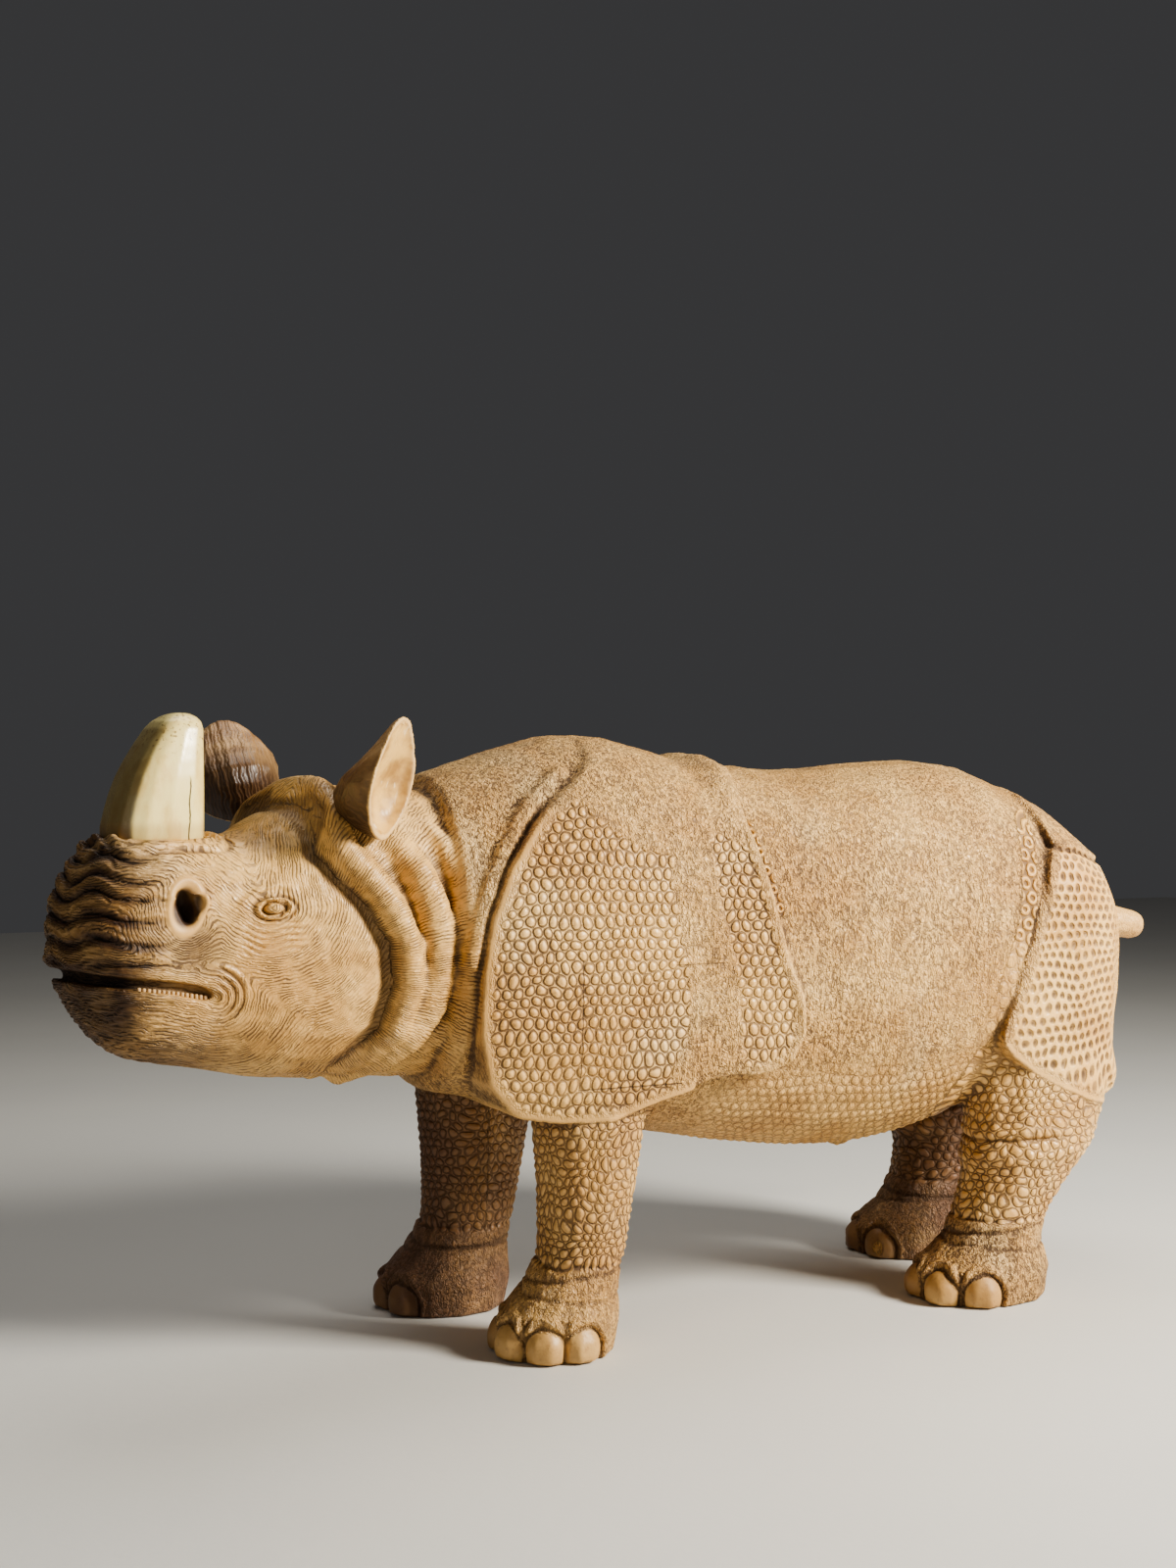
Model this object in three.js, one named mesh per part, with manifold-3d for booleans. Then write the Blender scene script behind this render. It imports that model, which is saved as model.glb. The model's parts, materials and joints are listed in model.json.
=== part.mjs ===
// A standing rhinoceros with armour plates, carved in wood, three quarters of a metre high at the shoulder.
// The body is one glued-up block of wood, with head, legs, plates and toes cut from it.
// The pale horn, the two ears and the tail stub are pieces of their own, let into seats in the body.
// Millimetres, +Z up. The head looks along -X and the animal's left side faces -Y.
// The origin is on the floor, under the middle of the whole figure.

import * as THREE from 'three';
import { mergeVertices } from 'three/addons/utils/BufferGeometryUtils.js';
import Module from 'manifold-3d';

const wasm = await Module();
wasm.setup();

// Driving dimensions, in millimetres and degrees
const SHOULDER_HEIGHT = 752;
const BODY_WIDTH = 408;
const TRACK_WIDTH = 256;
const HEAD_TURN = 15;
const HEAD_WIDTH = 250;

const PLATE_THICKNESS = 11;
const FLAP_THICKNESS = 9;
const LEDGE_THICKNESS = 10;
const ROPE_DIAMETER = 13;
const NECK_ROLL_DIAMETER = 42;
const NECK_FOLD_DIAMETER = 26;

const MOUTH_GAP = 12;
const MOUTH_DEPTH = 13;
const NOSTRIL_LENGTH = 58;
const NOSTRIL_WIDTH = 34;
const NOSTRIL_RIM = 9;
const NOSTRIL_DEPTH = 22;
const EYE_DIAMETER = 26;
const EYELID_THICKNESS = 5;

const HORN_HEIGHT = 131;
const HORN_LENGTH = 111;
const HORN_WIDTH = 92;
const HORN_SEAT_DEPTH = 14;

const EAR_LENGTH = 145;
const EAR_WIDTH = 118;
const EAR_BACK_DEPTH = 69;
const EAR_CUP_DEPTH = 26;
const EAR_RIM = 6;
const LEFT_EAR_SPLAY = 13;
const RIGHT_EAR_SPLAY = 29;
const RIGHT_EAR_RISE = 18;
const RIGHT_EAR_AHEAD = 26;

const TAIL_LENGTH = 124;
const TAIL_DIAMETER = 41;
const TAIL_SOCKET_DEPTH = 30;
const TAIL_DROOP = 10;

const TOE_WIDTH = 52;
const TOE_HEIGHT = 44;
const TOE_LENGTH = 48;

const SEAT_GAP = 0.3;
const SURFACE_TOLERANCE = 2;

// The free forms keep their proportions: their tables are in carving units, which put the shoulder at 752
const unit = SHOULDER_HEIGHT / 752;
const halfWidth = BODY_WIDTH / 2;
const radians = THREE.MathUtils.degToRad;

const TORSO_SIDES = 28;
const TORSO_RINGS = 16;
const HEAD_SIDES = 22;
const HEAD_RINGS = 13;
const LEG_SIDES = 12;
const LEG_RINGS = 10;
const TUBE_SIDES = 6;

// Closed solids from three.js geometry

function signedVolume(geometry) {
  const at = geometry.getAttribute('position');
  const index = geometry.getIndex();
  const corner = [new THREE.Vector3(), new THREE.Vector3(), new THREE.Vector3()];
  let sum = 0;
  for (let i = 0; i < index.count; i += 3) {
    corner.forEach((point, k) => point.fromBufferAttribute(at, index.getX(i + k)));
    sum += corner[0].dot(corner[1].clone().cross(corner[2])) / 6;
  }
  return sum;
}

function solid(geometry) {
  const bare = geometry.clone();
  for (const name of Object.keys(bare.attributes)) {
    if (name !== 'position') bare.deleteAttribute(name);
  }
  const merged = mergeVertices(bare, 1e-3);
  const outward = signedVolume(merged) > 0;
  const index = merged.getIndex().array;
  const triVerts = [];
  for (let i = 0; i < index.length; i += 3) {
    const [a, b, c] = [index[i], index[i + 1], index[i + 2]];
    if (a === b || b === c || c === a) continue;
    triVerts.push(...(outward ? [a, b, c] : [a, c, b]));
  }
  const mesh = new wasm.Mesh({
    numProp: 3,
    vertProperties: new Float32Array(merged.getAttribute('position').array),
    triVerts: new Uint32Array(triVerts),
  });
  return new wasm.Manifold(mesh);
}

function geometryOf(shape) {
  const mesh = shape.getMesh();
  const geometry = new THREE.BufferGeometry();
  geometry.setAttribute('position', new THREE.BufferAttribute(new Float32Array(mesh.vertProperties), 3));
  geometry.setIndex(new THREE.BufferAttribute(new Uint32Array(mesh.triVerts), 1));
  return geometry;
}

// A smooth curve through the rows of a table, each row a place and the values there
function smoothTable(rows) {
  const slope = (i, k) => {
    const before = rows[Math.max(i - 1, 0)];
    const after = rows[Math.min(i + 1, rows.length - 1)];
    return (after[k] - before[k]) / (after[0] - before[0]);
  };
  return (place) => {
    const last = rows.length - 1;
    if (place <= rows[0][0]) return rows[0].slice(1);
    if (place >= rows[last][0]) return rows[last].slice(1);
    const i = rows.findIndex((row) => row[0] > place) - 1;
    const span = rows[i + 1][0] - rows[i][0];
    const t = (place - rows[i][0]) / span;
    return rows[i].slice(1).map((value, n) => {
      const k = n + 1;
      const rise = rows[i + 1][k] - value;
      const start = slope(i, k) * span;
      const end = slope(i + 1, k) * span;
      return value + t * (start + t * (3 * rise - 2 * start - end + t * (start + end - 2 * rise)));
    });
  };
}

function smoothStep(low, high, value) {
  return THREE.MathUtils.smoothstep(value, low, high);
}

// How full the rounded ends of a skin are: 2 is a circle, more is squarer
const END_FULLNESS = 2.3;

// A closed skin along an axis: superellipse rings, drawn to a rounded or flat end on both sides
function loft({ from, to, roundFrom = 0, roundTo = 0, endRings = 4, rings, sides, section, place }) {
  const stations = [{ at: from, share: 0 }];
  const power = 2 / END_FULLNESS;
  const pushEnd = (edge, depth, sign, order) => {
    const steps = depth === 0 ? [1] : order;
    for (const step of steps) {
      const angle = (Math.PI / 2) * step;
      const share = Math.sin(angle) ** power;
      stations.push({ at: edge + sign * depth * (1 - Math.cos(angle) ** power), share });
    }
  };
  const rising = Array.from({ length: endRings }, (_, i) => (i + 1) / endRings);
  pushEnd(from, roundFrom, 1, rising);
  for (let i = 1; i < rings; i++) {
    stations.push({ at: from + roundFrom + ((to - roundTo - from - roundFrom) * i) / rings, share: 1 });
  }
  pushEnd(to, roundTo, -1, [...rising].reverse());
  stations.push({ at: to, share: 0 });

  const geometry = new THREE.SphereGeometry(1, sides, stations.length - 1);
  const at = geometry.getAttribute('position');
  for (let i = 0; i < at.count; i++) {
    const row = Math.floor(i / (sides + 1));
    const turn = ((i % (sides + 1)) % sides) / sides;
    const { at: axis, share } = stations[row];
    const ring = section(axis);
    const cos = Math.cos(turn * 2 * Math.PI);
    const sin = Math.sin(turn * 2 * Math.PI);
    const bend = (value) => Math.sign(value) * Math.abs(value) ** (2 / ring.power);
    const side = ring.side + share * ring.wide * bend(cos);
    const up = ring.mid + share * (sin > 0 ? ring.up : ring.down) * bend(sin);
    const point = place(axis, side, up);
    at.setXYZ(i, point.x, point.y, point.z);
  }
  return solid(geometry);
}

function ellipsoid(centre, radii, turn = 0, sides = 7) {
  const geometry = new THREE.SphereGeometry(1, sides, Math.round(sides * 0.7));
  geometry.rotateX(Math.PI / 2);
  geometry.scale(...radii);
  geometry.rotateZ(turn);
  geometry.translate(centre.x, centre.y, centre.z);
  return solid(geometry);
}

// A round bar along a smooth path
function bar(points, diameter, steps, sides = TUBE_SIDES) {
  const round = new THREE.Shape();
  round.absarc(0, 0, diameter / 2, 0, 2 * Math.PI);
  const path = new THREE.CatmullRomCurve3(points);
  const settings = { steps, curveSegments: sides / 2, bevelEnabled: false, extrudePath: path };
  return solid(new THREE.ExtrudeGeometry(round, settings));
}

// An outline in side view, drawn through the whole width
function sidePrism(outline, width) {
  const shape = new THREE.Shape();
  shape.moveTo(...outline[0]);
  outline.slice(1).forEach((point) => shape.lineTo(...point));
  const geometry = new THREE.ExtrudeGeometry(shape, { depth: width, steps: 1, bevelEnabled: false });
  geometry.translate(0, 0, -width / 2);
  geometry.rotateX(Math.PI / 2);
  return solid(geometry);
}

function smoothOutline(points, count) {
  const scaled = points.map(([along, up]) => new THREE.Vector2(along * unit, up * unit));
  const curve = new THREE.SplineCurve(scaled);
  return curve.getPoints(count).map((point) => [point.x, point.y]);
}

function joined(solids) {
  return solids.reduce((whole, next) => whole.add(next));
}

// The wood itself, without the slivers that simplifying can leave inside it
function largest(shape) {
  return shape.decompose().sort((one, other) => other.volume() - one.volume())[0];
}

// Torso: back line, belly line and share of the body's half width, from the neck to the rump

const torsoStart = -374 * unit;
const torsoEnd = 668 * unit;
const torsoMiddle = 468 * unit;
const chestRound = 26 * unit;
const rumpRound = 140 * unit;
const BARREL_FULLNESS = 2.35;
const PLATE_FULLNESS = 2.7;

const torsoLines = smoothTable([
  [-374, 692, 312, 0.87],
  [-330, 700, 302, 0.92],
  [-250, 729, 286, 0.97],
  [-168, 749, 264, 1.0],
  [-110, 745, 248, 1.0],
  [-40, 724, 233, 0.99],
  [60, 709, 214, 0.99],
  [180, 704, 200, 1.01],
  [270, 711, 201, 1.02],
  [350, 718, 216, 1.01],
  [420, 712, 242, 0.99],
  [490, 684, 272, 0.97],
  [570, 640, 288, 0.93],
  [668, 570, 300, 0.88],
]);

// The plates hang straighter than the barrel under them, so their skin has a deeper lower half.
// What they add in thickness lies on the flanks, and fades out over the back
function torsoSection(grow = () => 0, skirt = 0) {
  return (x) => {
    const [back, belly, share] = torsoLines(x / unit);
    const raised = grow(x);
    return {
      side: 0,
      mid: torsoMiddle,
      wide: halfWidth * share + raised,
      up: back * unit - torsoMiddle,
      down: torsoMiddle - belly * unit + skirt + raised,
      power: skirt ? PLATE_FULLNESS : BARREL_FULLNESS,
    };
  };
}

function torsoSkin(grow, skirt, place = (x, y, z) => new THREE.Vector3(x, y, z)) {
  return loft({
    from: torsoStart,
    to: torsoEnd,
    roundFrom: chestRound,
    roundTo: rumpRound,
    endRings: 4,
    rings: TORSO_RINGS,
    sides: TORSO_SIDES,
    section: torsoSection(grow, skirt),
    place,
  });
}

// How far the skin stands from the middle plane at a place in side view
function sideOf(section, x, z) {
  const ring = section(x);
  const depth = Math.min(Math.abs(z - ring.mid) / (z > ring.mid ? ring.up : ring.down), 0.995);
  return ring.wide * (1 - depth ** ring.power) ** (1 / ring.power);
}

// Shoulder armour: a thick front plate, a shallow band, and a second plate that ends in a rope

const SKIRT_DROP = 90;
const ROPE_SINK = 1;
const plateUnderRope = torsoSection(() => PLATE_THICKNESS * 0.6, SKIRT_DROP);

const ropePlaces = [[26, 700], [18, 640], [32, 582], [47, 520], [60, 467], [82, 418], [82, 369], [66, 341]];

// The shoulder armour is thick along its front edge, thin at the band, and thicker again towards the rope
function shoulderThickness(x) {
  const place = x / unit;
  const thin = 0.2;
  const towardsFront = 0.8 * (1 - smoothStep(-300, -90, place));
  const towardsRope = 0.55 * smoothStep(-70, 60, place);
  return PLATE_THICKNESS * (thin + towardsFront + towardsRope);
}

function shoulderArmour() {
  const front = smoothOutline([
    [-60, 780], [-140, 770], [-176, 712], [-204, 688], [-256, 644], [-299, 588], [-326, 526], [-337, 460],
    [-339, 392], [-325, 332], [-289, 292], [-229, 281], [-164, 282], [-110, 300], [-62, 312],
  ], 22);
  const rear = smoothOutline([
    [-62, 316], [-16, 328], [27, 326], [66, 338], [84, 369], [84, 418], [62, 467], [48, 520], [33, 582],
    [20, 640], [30, 700], [40, 760],
  ], 18);
  const skin = torsoSkin(shoulderThickness, SKIRT_DROP);
  const wide = BODY_WIDTH * 2;
  const frontPlate = skin.intersect(sidePrism(front, wide));
  const aboveBand = [-62 * unit, 760 * unit];
  const rearPlate = skin.intersect(sidePrism([...rear, aboveBand], wide));
  return joined([frontPlate, rearPlate]);
}

function onBothSides(makeSide) {
  return [-1, 1].map((side) => makeSide(side));
}

function barOnSkin(places, section, diameter, sink, steps, side) {
  const points = places.map(([along, up]) => {
    const x = along * unit;
    const z = up * unit;
    return new THREE.Vector3(x, side * (sideOf(section, x, z) - sink), z);
  });
  return bar(points, diameter, steps);
}

function ropes() {
  return onBothSides((side) => barOnSkin(ropePlaces, plateUnderRope, ROPE_DIAMETER, ROPE_SINK, 10, side));
}

// The skin rises in a ridge along the front of the shoulder plate
function shoulderRidges() {
  const places = [[-205, 700], [-262, 652], [-306, 590], [-334, 526], [-347, 470]];
  const section = torsoSection();
  const sink = NECK_FOLD_DIAMETER * 0.2;
  return onBothSides((side) => barOnSkin(places, section, NECK_FOLD_DIAMETER, sink, 8, side));
}

// Rump armour: a ledge over the croup, and a flap that hangs over the thigh and flares out behind it

const FLAP_FLARE_BACK = 58;
const FLAP_FLARE_OUT = 0.08;

function flared(x, y, z) {
  const low = (1 - smoothStep(250, 350, z / unit)) * smoothStep(520, 640, x / unit);
  return new THREE.Vector3(x + FLAP_FLARE_BACK * low, y * (1 + FLAP_FLARE_OUT * low), z);
}

// The ledge grows out of the back and is thickest behind
function ledgeThickness(x) {
  return LEDGE_THICKNESS * 1.7 * smoothStep(470, 620, x / unit);
}

// The flap is thinner at its front seam than over the thigh
function flapThickness(x) {
  return FLAP_THICKNESS * (0.55 + 0.45 * smoothStep(430, 580, x / unit));
}

function rumpArmour() {
  const flap = smoothOutline([
    [800, 610], [640, 606], [560, 614], [492, 612], [470, 549], [444, 490], [428, 435], [398, 372],
    [392, 346], [411, 326], [448, 303], [495, 278], [545, 258], [591, 248], [631, 246], [660, 262],
    [800, 300],
  ], 23);
  const ledge = smoothOutline([
    [478, 760], [484, 690], [487, 640], [492, 604], [540, 596], [600, 578], [660, 548], [800, 520],
  ], 12);
  const wide = BODY_WIDTH * 2;
  const betweenThighs = new THREE.BoxGeometry(900 * unit, TRACK_WIDTH * 1.1, 340 * unit);
  betweenThighs.translate(400 * unit, 0, 150 * unit);
  const outer = torsoSkin(flapThickness, SKIRT_DROP, flared);
  const hanging = outer.intersect(sidePrism(flap, wide)).subtract(solid(betweenThighs));
  const behindBack = [800 * unit, 760 * unit];
  const croup = torsoSkin(ledgeThickness, SKIRT_DROP).intersect(sidePrism([...ledge, behindBack], wide));
  return joined([hanging, croup]);
}

// Legs: place along the body, half length and half width at each height, as shares of the figure

const frontLegLines = smoothTable([
  [0, -218, 72, 68],
  [18, -218, 78, 73],
  [42, -215, 77, 71],
  [68, -204, 66, 61],
  [92, -192, 55, 53],
  [115, -184, 54, 53],
  [150, -180, 57, 56],
  [190, -177, 60, 58],
  [240, -174, 66, 62],
  [300, -172, 74, 64],
  [420, -168, 80, 60],
]);

const hindLegLines = smoothTable([
  [0, 405, 92, 76],
  [18, 405, 98, 81],
  [42, 408, 95, 78],
  [64, 418, 80, 68],
  [86, 429, 64, 60],
  [112, 440, 64, 61],
  [145, 459, 71, 65],
  [176, 474, 82, 68],
  [196, 484, 96, 70],
  [220, 490, 99, 70],
  [270, 498, 108, 68],
  [430, 500, 110, 60],
]);

// Four toes on a front foot and three on a hind foot, at these angles out from straight ahead
const frontToes = [-27, 13, 56, 98];
const hindToes = [-20, 18, 58];
const legs = [
  { lines: frontLegLines, side: -1, step: 0, lean: 0, girth: 1, toes: frontToes },
  { lines: frontLegLines, side: 1, step: -48, lean: 0, girth: 1.13, toes: frontToes },
  { lines: hindLegLines, side: -1, step: 0, lean: 0, girth: 1, toes: hindToes },
  { lines: hindLegLines, side: 1, step: 76, lean: 0.75, girth: 1.08, toes: hindToes },
];
const legTop = 430 * unit;
const legTopRound = 40 * unit;
const LEG_FULLNESS = 2.1;

// A leg that steps back leans forward again to its hip
function stepAt({ step, lean }, z) {
  return step * unit * (1 - lean * smoothStep(120, 300, z / unit));
}

function legSection({ lines, side, girth, ...stride }, z) {
  const [along, long, wide] = lines(z / unit);
  return {
    side: along * unit + stepAt(stride, z),
    mid: (side * TRACK_WIDTH) / 2,
    wide: long * girth * unit,
    up: wide * girth * unit,
    down: wide * girth * unit,
    power: LEG_FULLNESS,
  };
}

function leg(stance) {
  return loft({
    from: 0,
    to: legTop,
    roundFrom: 0,
    roundTo: legTopRound,
    endRings: 2,
    rings: LEG_RINGS,
    sides: LEG_SIDES,
    section: (z) => legSection(stance, z),
    place: (z, x, y) => new THREE.Vector3(x, y, z),
  });
}

// Each toe is a smooth egg, let into the foot's rim and flat underneath
function toesOf(stance) {
  const sole = legSection(stance, 0);
  const sink = TOE_LENGTH * 0.28;
  return stance.toes.map((angle) => {
    const out = radians(180 - stance.side * angle);
    const reach = 1 / Math.hypot(Math.cos(out) / sole.wide, Math.sin(out) / sole.up);
    const x = sole.side + Math.cos(out) * (reach - sink);
    const y = sole.mid + Math.sin(out) * (reach - sink);
    const middle = new THREE.Vector3(x, y, TOE_HEIGHT * 0.36);
    return ellipsoid(middle, [TOE_LENGTH / 2, TOE_WIDTH / 2, TOE_HEIGHT * 0.6], out);
  });
}

// A folded crease stands over each hind knee
const KNEE_FOLD_DIAMETER = 22;
const kneeHeight = 192 * unit;
const kneeFoldRise = 8 * unit;

function kneeFold(stance) {
  const knee = legSection(stance, kneeHeight);
  const sink = KNEE_FOLD_DIAMETER * 0.18;
  const points = [100, 150, 195, 240, 290].map((degrees) => {
    const turn = radians(degrees);
    const x = knee.side + (knee.wide - sink) * Math.cos(turn);
    const y = knee.mid - stance.side * (knee.up - sink) * Math.sin(turn);
    return new THREE.Vector3(x, y, kneeHeight + kneeFoldRise * Math.cos(turn));
  });
  return bar(points, KNEE_FOLD_DIAMETER, 8);
}

// Head: measured forward from the neck, then turned to the left as a whole

const headFront = 494 * unit;
const neckBack = -330 * unit;
const muzzleRound = 52 * unit;
const HEAD_FULLNESS = 2.45;

const headLines = smoothTable([
  [0, 676, 326, 1.16, 500],
  [60, 680, 328, 1.12, 500],
  [110, 684, 332, 1.08, 498],
  [150, 684, 338, 1.06, 496],
  [190, 681, 338, 1.04, 494],
  [222, 664, 340, 1.0, 492],
  [250, 641, 343, 0.96, 490],
  [285, 626, 348, 0.9, 490],
  [330, 628, 361, 0.83, 496],
  [380, 634, 370, 0.78, 502],
  [425, 634, 376, 0.74, 506],
  [455, 616, 386, 0.7, 508],
  [494, 590, 404, 0.64, 510],
]);

const toHead = new THREE.Matrix4().makeBasis(
  new THREE.Vector3(-Math.cos(radians(HEAD_TURN)), -Math.sin(radians(HEAD_TURN)), 0),
  new THREE.Vector3(Math.sin(radians(HEAD_TURN)), -Math.cos(radians(HEAD_TURN)), 0),
  new THREE.Vector3(0, 0, 1),
).setPosition(neckBack, 0, 0);

function headSection(grow = 0) {
  return (forward) => {
    const [top, chin, share, middle] = headLines(forward / unit);
    return {
      side: 0,
      mid: middle * unit,
      wide: (HEAD_WIDTH / 2) * share + grow,
      up: (top - middle) * unit + grow,
      down: (middle - chin) * unit + grow,
      power: HEAD_FULLNESS,
    };
  };
}

// The chin stands back from the upper lip, the more the lower it is
const lipHeight = 482 * unit;
const jawBack = 300 * unit;
const JAW_SLOPE = 0.27;

function jawSetBack(forward, up) {
  const below = Math.max(0, lipHeight - up);
  return JAW_SLOPE * below * smoothStep(jawBack, headFront, forward);
}

function headSkin(grow) {
  return loft({
    from: 0,
    to: headFront + grow,
    roundFrom: 0,
    roundTo: muzzleRound,
    endRings: 5,
    rings: HEAD_RINGS,
    sides: HEAD_SIDES,
    section: headSection(grow),
    place: (forward, side, up) => {
      const point = new THREE.Vector3(forward - jawSetBack(forward, up), side, up);
      return point.applyMatrix4(toHead);
    },
  });
}

function onHead(forward, side, up) {
  return new THREE.Vector3(forward, side, up).applyMatrix4(toHead);
}

function headSideAt(forward, up) {
  return sideOf(headSection(), forward, up);
}

function headTopAt(forward) {
  return headLines(forward / unit)[0] * unit;
}

// The mouth is a long open slit that leaves a core for the teeth
function mouthCut() {
  const half = MOUTH_GAP / 2;
  const line = [[352, 449], [366, 455], [400, 463], [450, 470], [500, 478], [540, 484]];
  const upper = line.map(([forward, up], i) => [forward * unit, up * unit + (i === 0 ? 0 : half)]);
  const lower = line.slice(1).reverse().map(([forward, up]) => [forward * unit, up * unit - half]);
  const shape = new THREE.Shape();
  [...upper, ...lower].forEach(([x, y], i) => (i === 0 ? shape.moveTo(x, y) : shape.lineTo(x, y)));
  const width = HEAD_WIDTH * 1.4;
  const geometry = new THREE.ExtrudeGeometry(shape, { depth: width, steps: 1, bevelEnabled: false });
  geometry.translate(0, 0, -width / 2);
  geometry.rotateX(Math.PI / 2);
  geometry.applyMatrix4(toHead);
  return solid(geometry).subtract(headSkin(-MOUTH_DEPTH));
}

// An oval on the side of the head: its own plane faces along the skin there
function sideFrame(forward, up, side, facing, lean) {
  const out = headSideAt(forward, up);
  const frame = new THREE.Matrix4().makeTranslation(forward, side * out, up);
  frame.multiply(new THREE.Matrix4().makeRotationZ(side * radians(90 - facing)));
  frame.multiply(new THREE.Matrix4().makeRotationX(radians(lean)));
  return new THREE.Matrix4().multiplyMatrices(toHead, frame);
}

function ovalRing(length, width, thickness, frame, steps) {
  const geometry = new THREE.TorusGeometry(1, thickness / length, 5, steps);
  geometry.scale(width / 2, length / 2, length / 2);
  geometry.rotateY(Math.PI / 2);
  geometry.applyMatrix4(frame);
  return solid(geometry);
}

const NOSTRIL_PLACE = { forward: 388 * unit, up: 551 * unit, facing: 14, lean: 14 };
const EYE_PLACE = { forward: 287 * unit, up: 546 * unit, facing: 16, lean: 0 };

function nostrilRim(side) {
  const { forward, up, facing, lean } = NOSTRIL_PLACE;
  const frame = sideFrame(forward, up, side, facing, side * lean);
  return ovalRing(NOSTRIL_LENGTH - NOSTRIL_RIM, NOSTRIL_WIDTH - NOSTRIL_RIM, NOSTRIL_RIM, frame, 16);
}

function nostrilHole(side) {
  const { forward, up, facing, lean } = NOSTRIL_PLACE;
  const geometry = new THREE.SphereGeometry(1, 12, 8);
  const long = NOSTRIL_LENGTH / 2 - NOSTRIL_RIM;
  const wide = NOSTRIL_WIDTH / 2 - NOSTRIL_RIM * 0.8;
  geometry.scale(NOSTRIL_DEPTH, wide, long);
  geometry.applyMatrix4(sideFrame(forward, up, side, facing, side * lean));
  return solid(geometry);
}

function eye(side) {
  const { forward, up, facing, lean } = EYE_PLACE;
  const frame = sideFrame(forward, up, side, facing, lean);
  const ball = new THREE.SphereGeometry(1, 8, 6);
  ball.scale(EYE_DIAMETER * 0.26, EYE_DIAMETER * 0.42, EYE_DIAMETER * 0.3);
  ball.applyMatrix4(frame);
  const lids = ovalRing(EYE_DIAMETER * 0.72, EYE_DIAMETER, EYELID_THICKNESS, frame, 12);
  return joined([solid(ball), lids]);
}

// Neck rolls: heavy folds of skin behind the cheek, on both sides of the head
const behindCheek = [
  [176, 694], [200, 656], [208, 624], [194, 596], [160, 560], [132, 504], [126, 455], [134, 405],
  [172, 358],
];
const behindEar = [[142, 628], [112, 585], [92, 530], [88, 480], [94, 430], [118, 385], [160, 345]];
const beforeShoulder = [[84, 655], [64, 600], [52, 530], [50, 460], [62, 405], [84, 362]];
const neckRolls = [
  { wide: 1.0, places: behindCheek },
  { wide: 1.05, places: behindEar },
  { wide: 0.6, places: beforeShoulder },
];

// A roll stands a little out of the skin, with its ends sunk. Above the head it is let into the top
function neckRoll({ wide, places }, side) {
  const diameter = NECK_ROLL_DIAMETER * wide;
  const points = places.map(([along, height], i) => {
    const [forward, up] = [along * unit, height * unit];
    const isEnd = i === 0 || i === places.length - 1;
    const out = headSideAt(forward, up) + (isEnd ? -0.7 : 0.05) * diameter;
    const top = headTopAt(forward);
    return up > top ? onHead(forward, 0, top - 0.3 * diameter) : onHead(forward, side * out, up);
  });
  return bar(points, diameter, 10, 8);
}

// Horn: a blunt D-shaped block, straight at the back and sloping in front

const HORN_PLACE = 381 * unit;
const HORN_TIP_ROUND = 0.13;
const HORN_FULLNESS = 2.9;

// Height, length and width, each as a share of the whole
const hornLines = smoothTable([
  [0, 1.0, 1.0],
  [0.12, 1.0, 1.0],
  [0.41, 0.89, 0.96],
  [0.57, 0.79, 0.91],
  [0.72, 0.67, 0.84],
  [0.85, 0.55, 0.77],
  [1, 0.4, 0.66],
]);

function horn(grow = 0) {
  const bottom = headTopAt(HORN_PLACE) - HORN_SEAT_DEPTH;
  const total = HORN_HEIGHT + HORN_SEAT_DEPTH;
  const back = HORN_PLACE - HORN_LENGTH / 2;
  return loft({
    from: bottom - grow,
    to: bottom + total + grow,
    roundFrom: 0,
    roundTo: total * HORN_TIP_ROUND,
    endRings: 4,
    rings: 7,
    sides: 16,
    section: (z) => {
      const [long, wide] = hornLines((z - bottom) / total);
      const half = (HORN_LENGTH / 2) * long;
      const across = (HORN_WIDTH / 2) * wide + grow;
      const place = { side: back + half, mid: 0 };
      return { ...place, wide: half + grow, up: across, down: across, power: HORN_FULLNESS };
    },
    place: (z, forward, side) => new THREE.Vector3(forward, side, z).applyMatrix4(toHead),
  });
}

// Ear: a boat-shaped leaf, its round back towards the nose and its cup open outwards and back

const EAR_FOOT = { forward: 162 * unit, side: HEAD_WIDTH * 0.544, up: 619 * unit };
const EAR_FACING = 32;
const EAR_LEAN = 3;
const EAR_FULLNESS = 2.1;

// Height, width and depth, each as a share of the whole

const earLines = smoothTable([
  [0, 0.34, 0.42],
  [0.12, 0.66, 0.82],
  [0.3, 0.94, 1.0],
  [0.45, 1.0, 0.86],
  [0.65, 0.88, 0.5],
  [0.85, 0.58, 0.24],
  [1, 0.3, 0.12],
]);

function earFrame(side) {
  const splay = side > 0 ? LEFT_EAR_SPLAY : RIGHT_EAR_SPLAY;
  const up = EAR_FOOT.up + (side > 0 ? 0 : RIGHT_EAR_RISE);
  const forward = EAR_FOOT.forward + (side > 0 ? 0 : RIGHT_EAR_AHEAD);
  const frame = new THREE.Matrix4().makeTranslation(forward, side * EAR_FOOT.side, up);
  frame.multiply(new THREE.Matrix4().makeRotationY(radians(-EAR_LEAN)));
  frame.multiply(new THREE.Matrix4().makeRotationX(radians(-side * splay)));
  frame.multiply(new THREE.Matrix4().makeRotationZ(side * radians(90 + EAR_FACING)));
  return new THREE.Matrix4().multiplyMatrices(toHead, frame);
}

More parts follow.
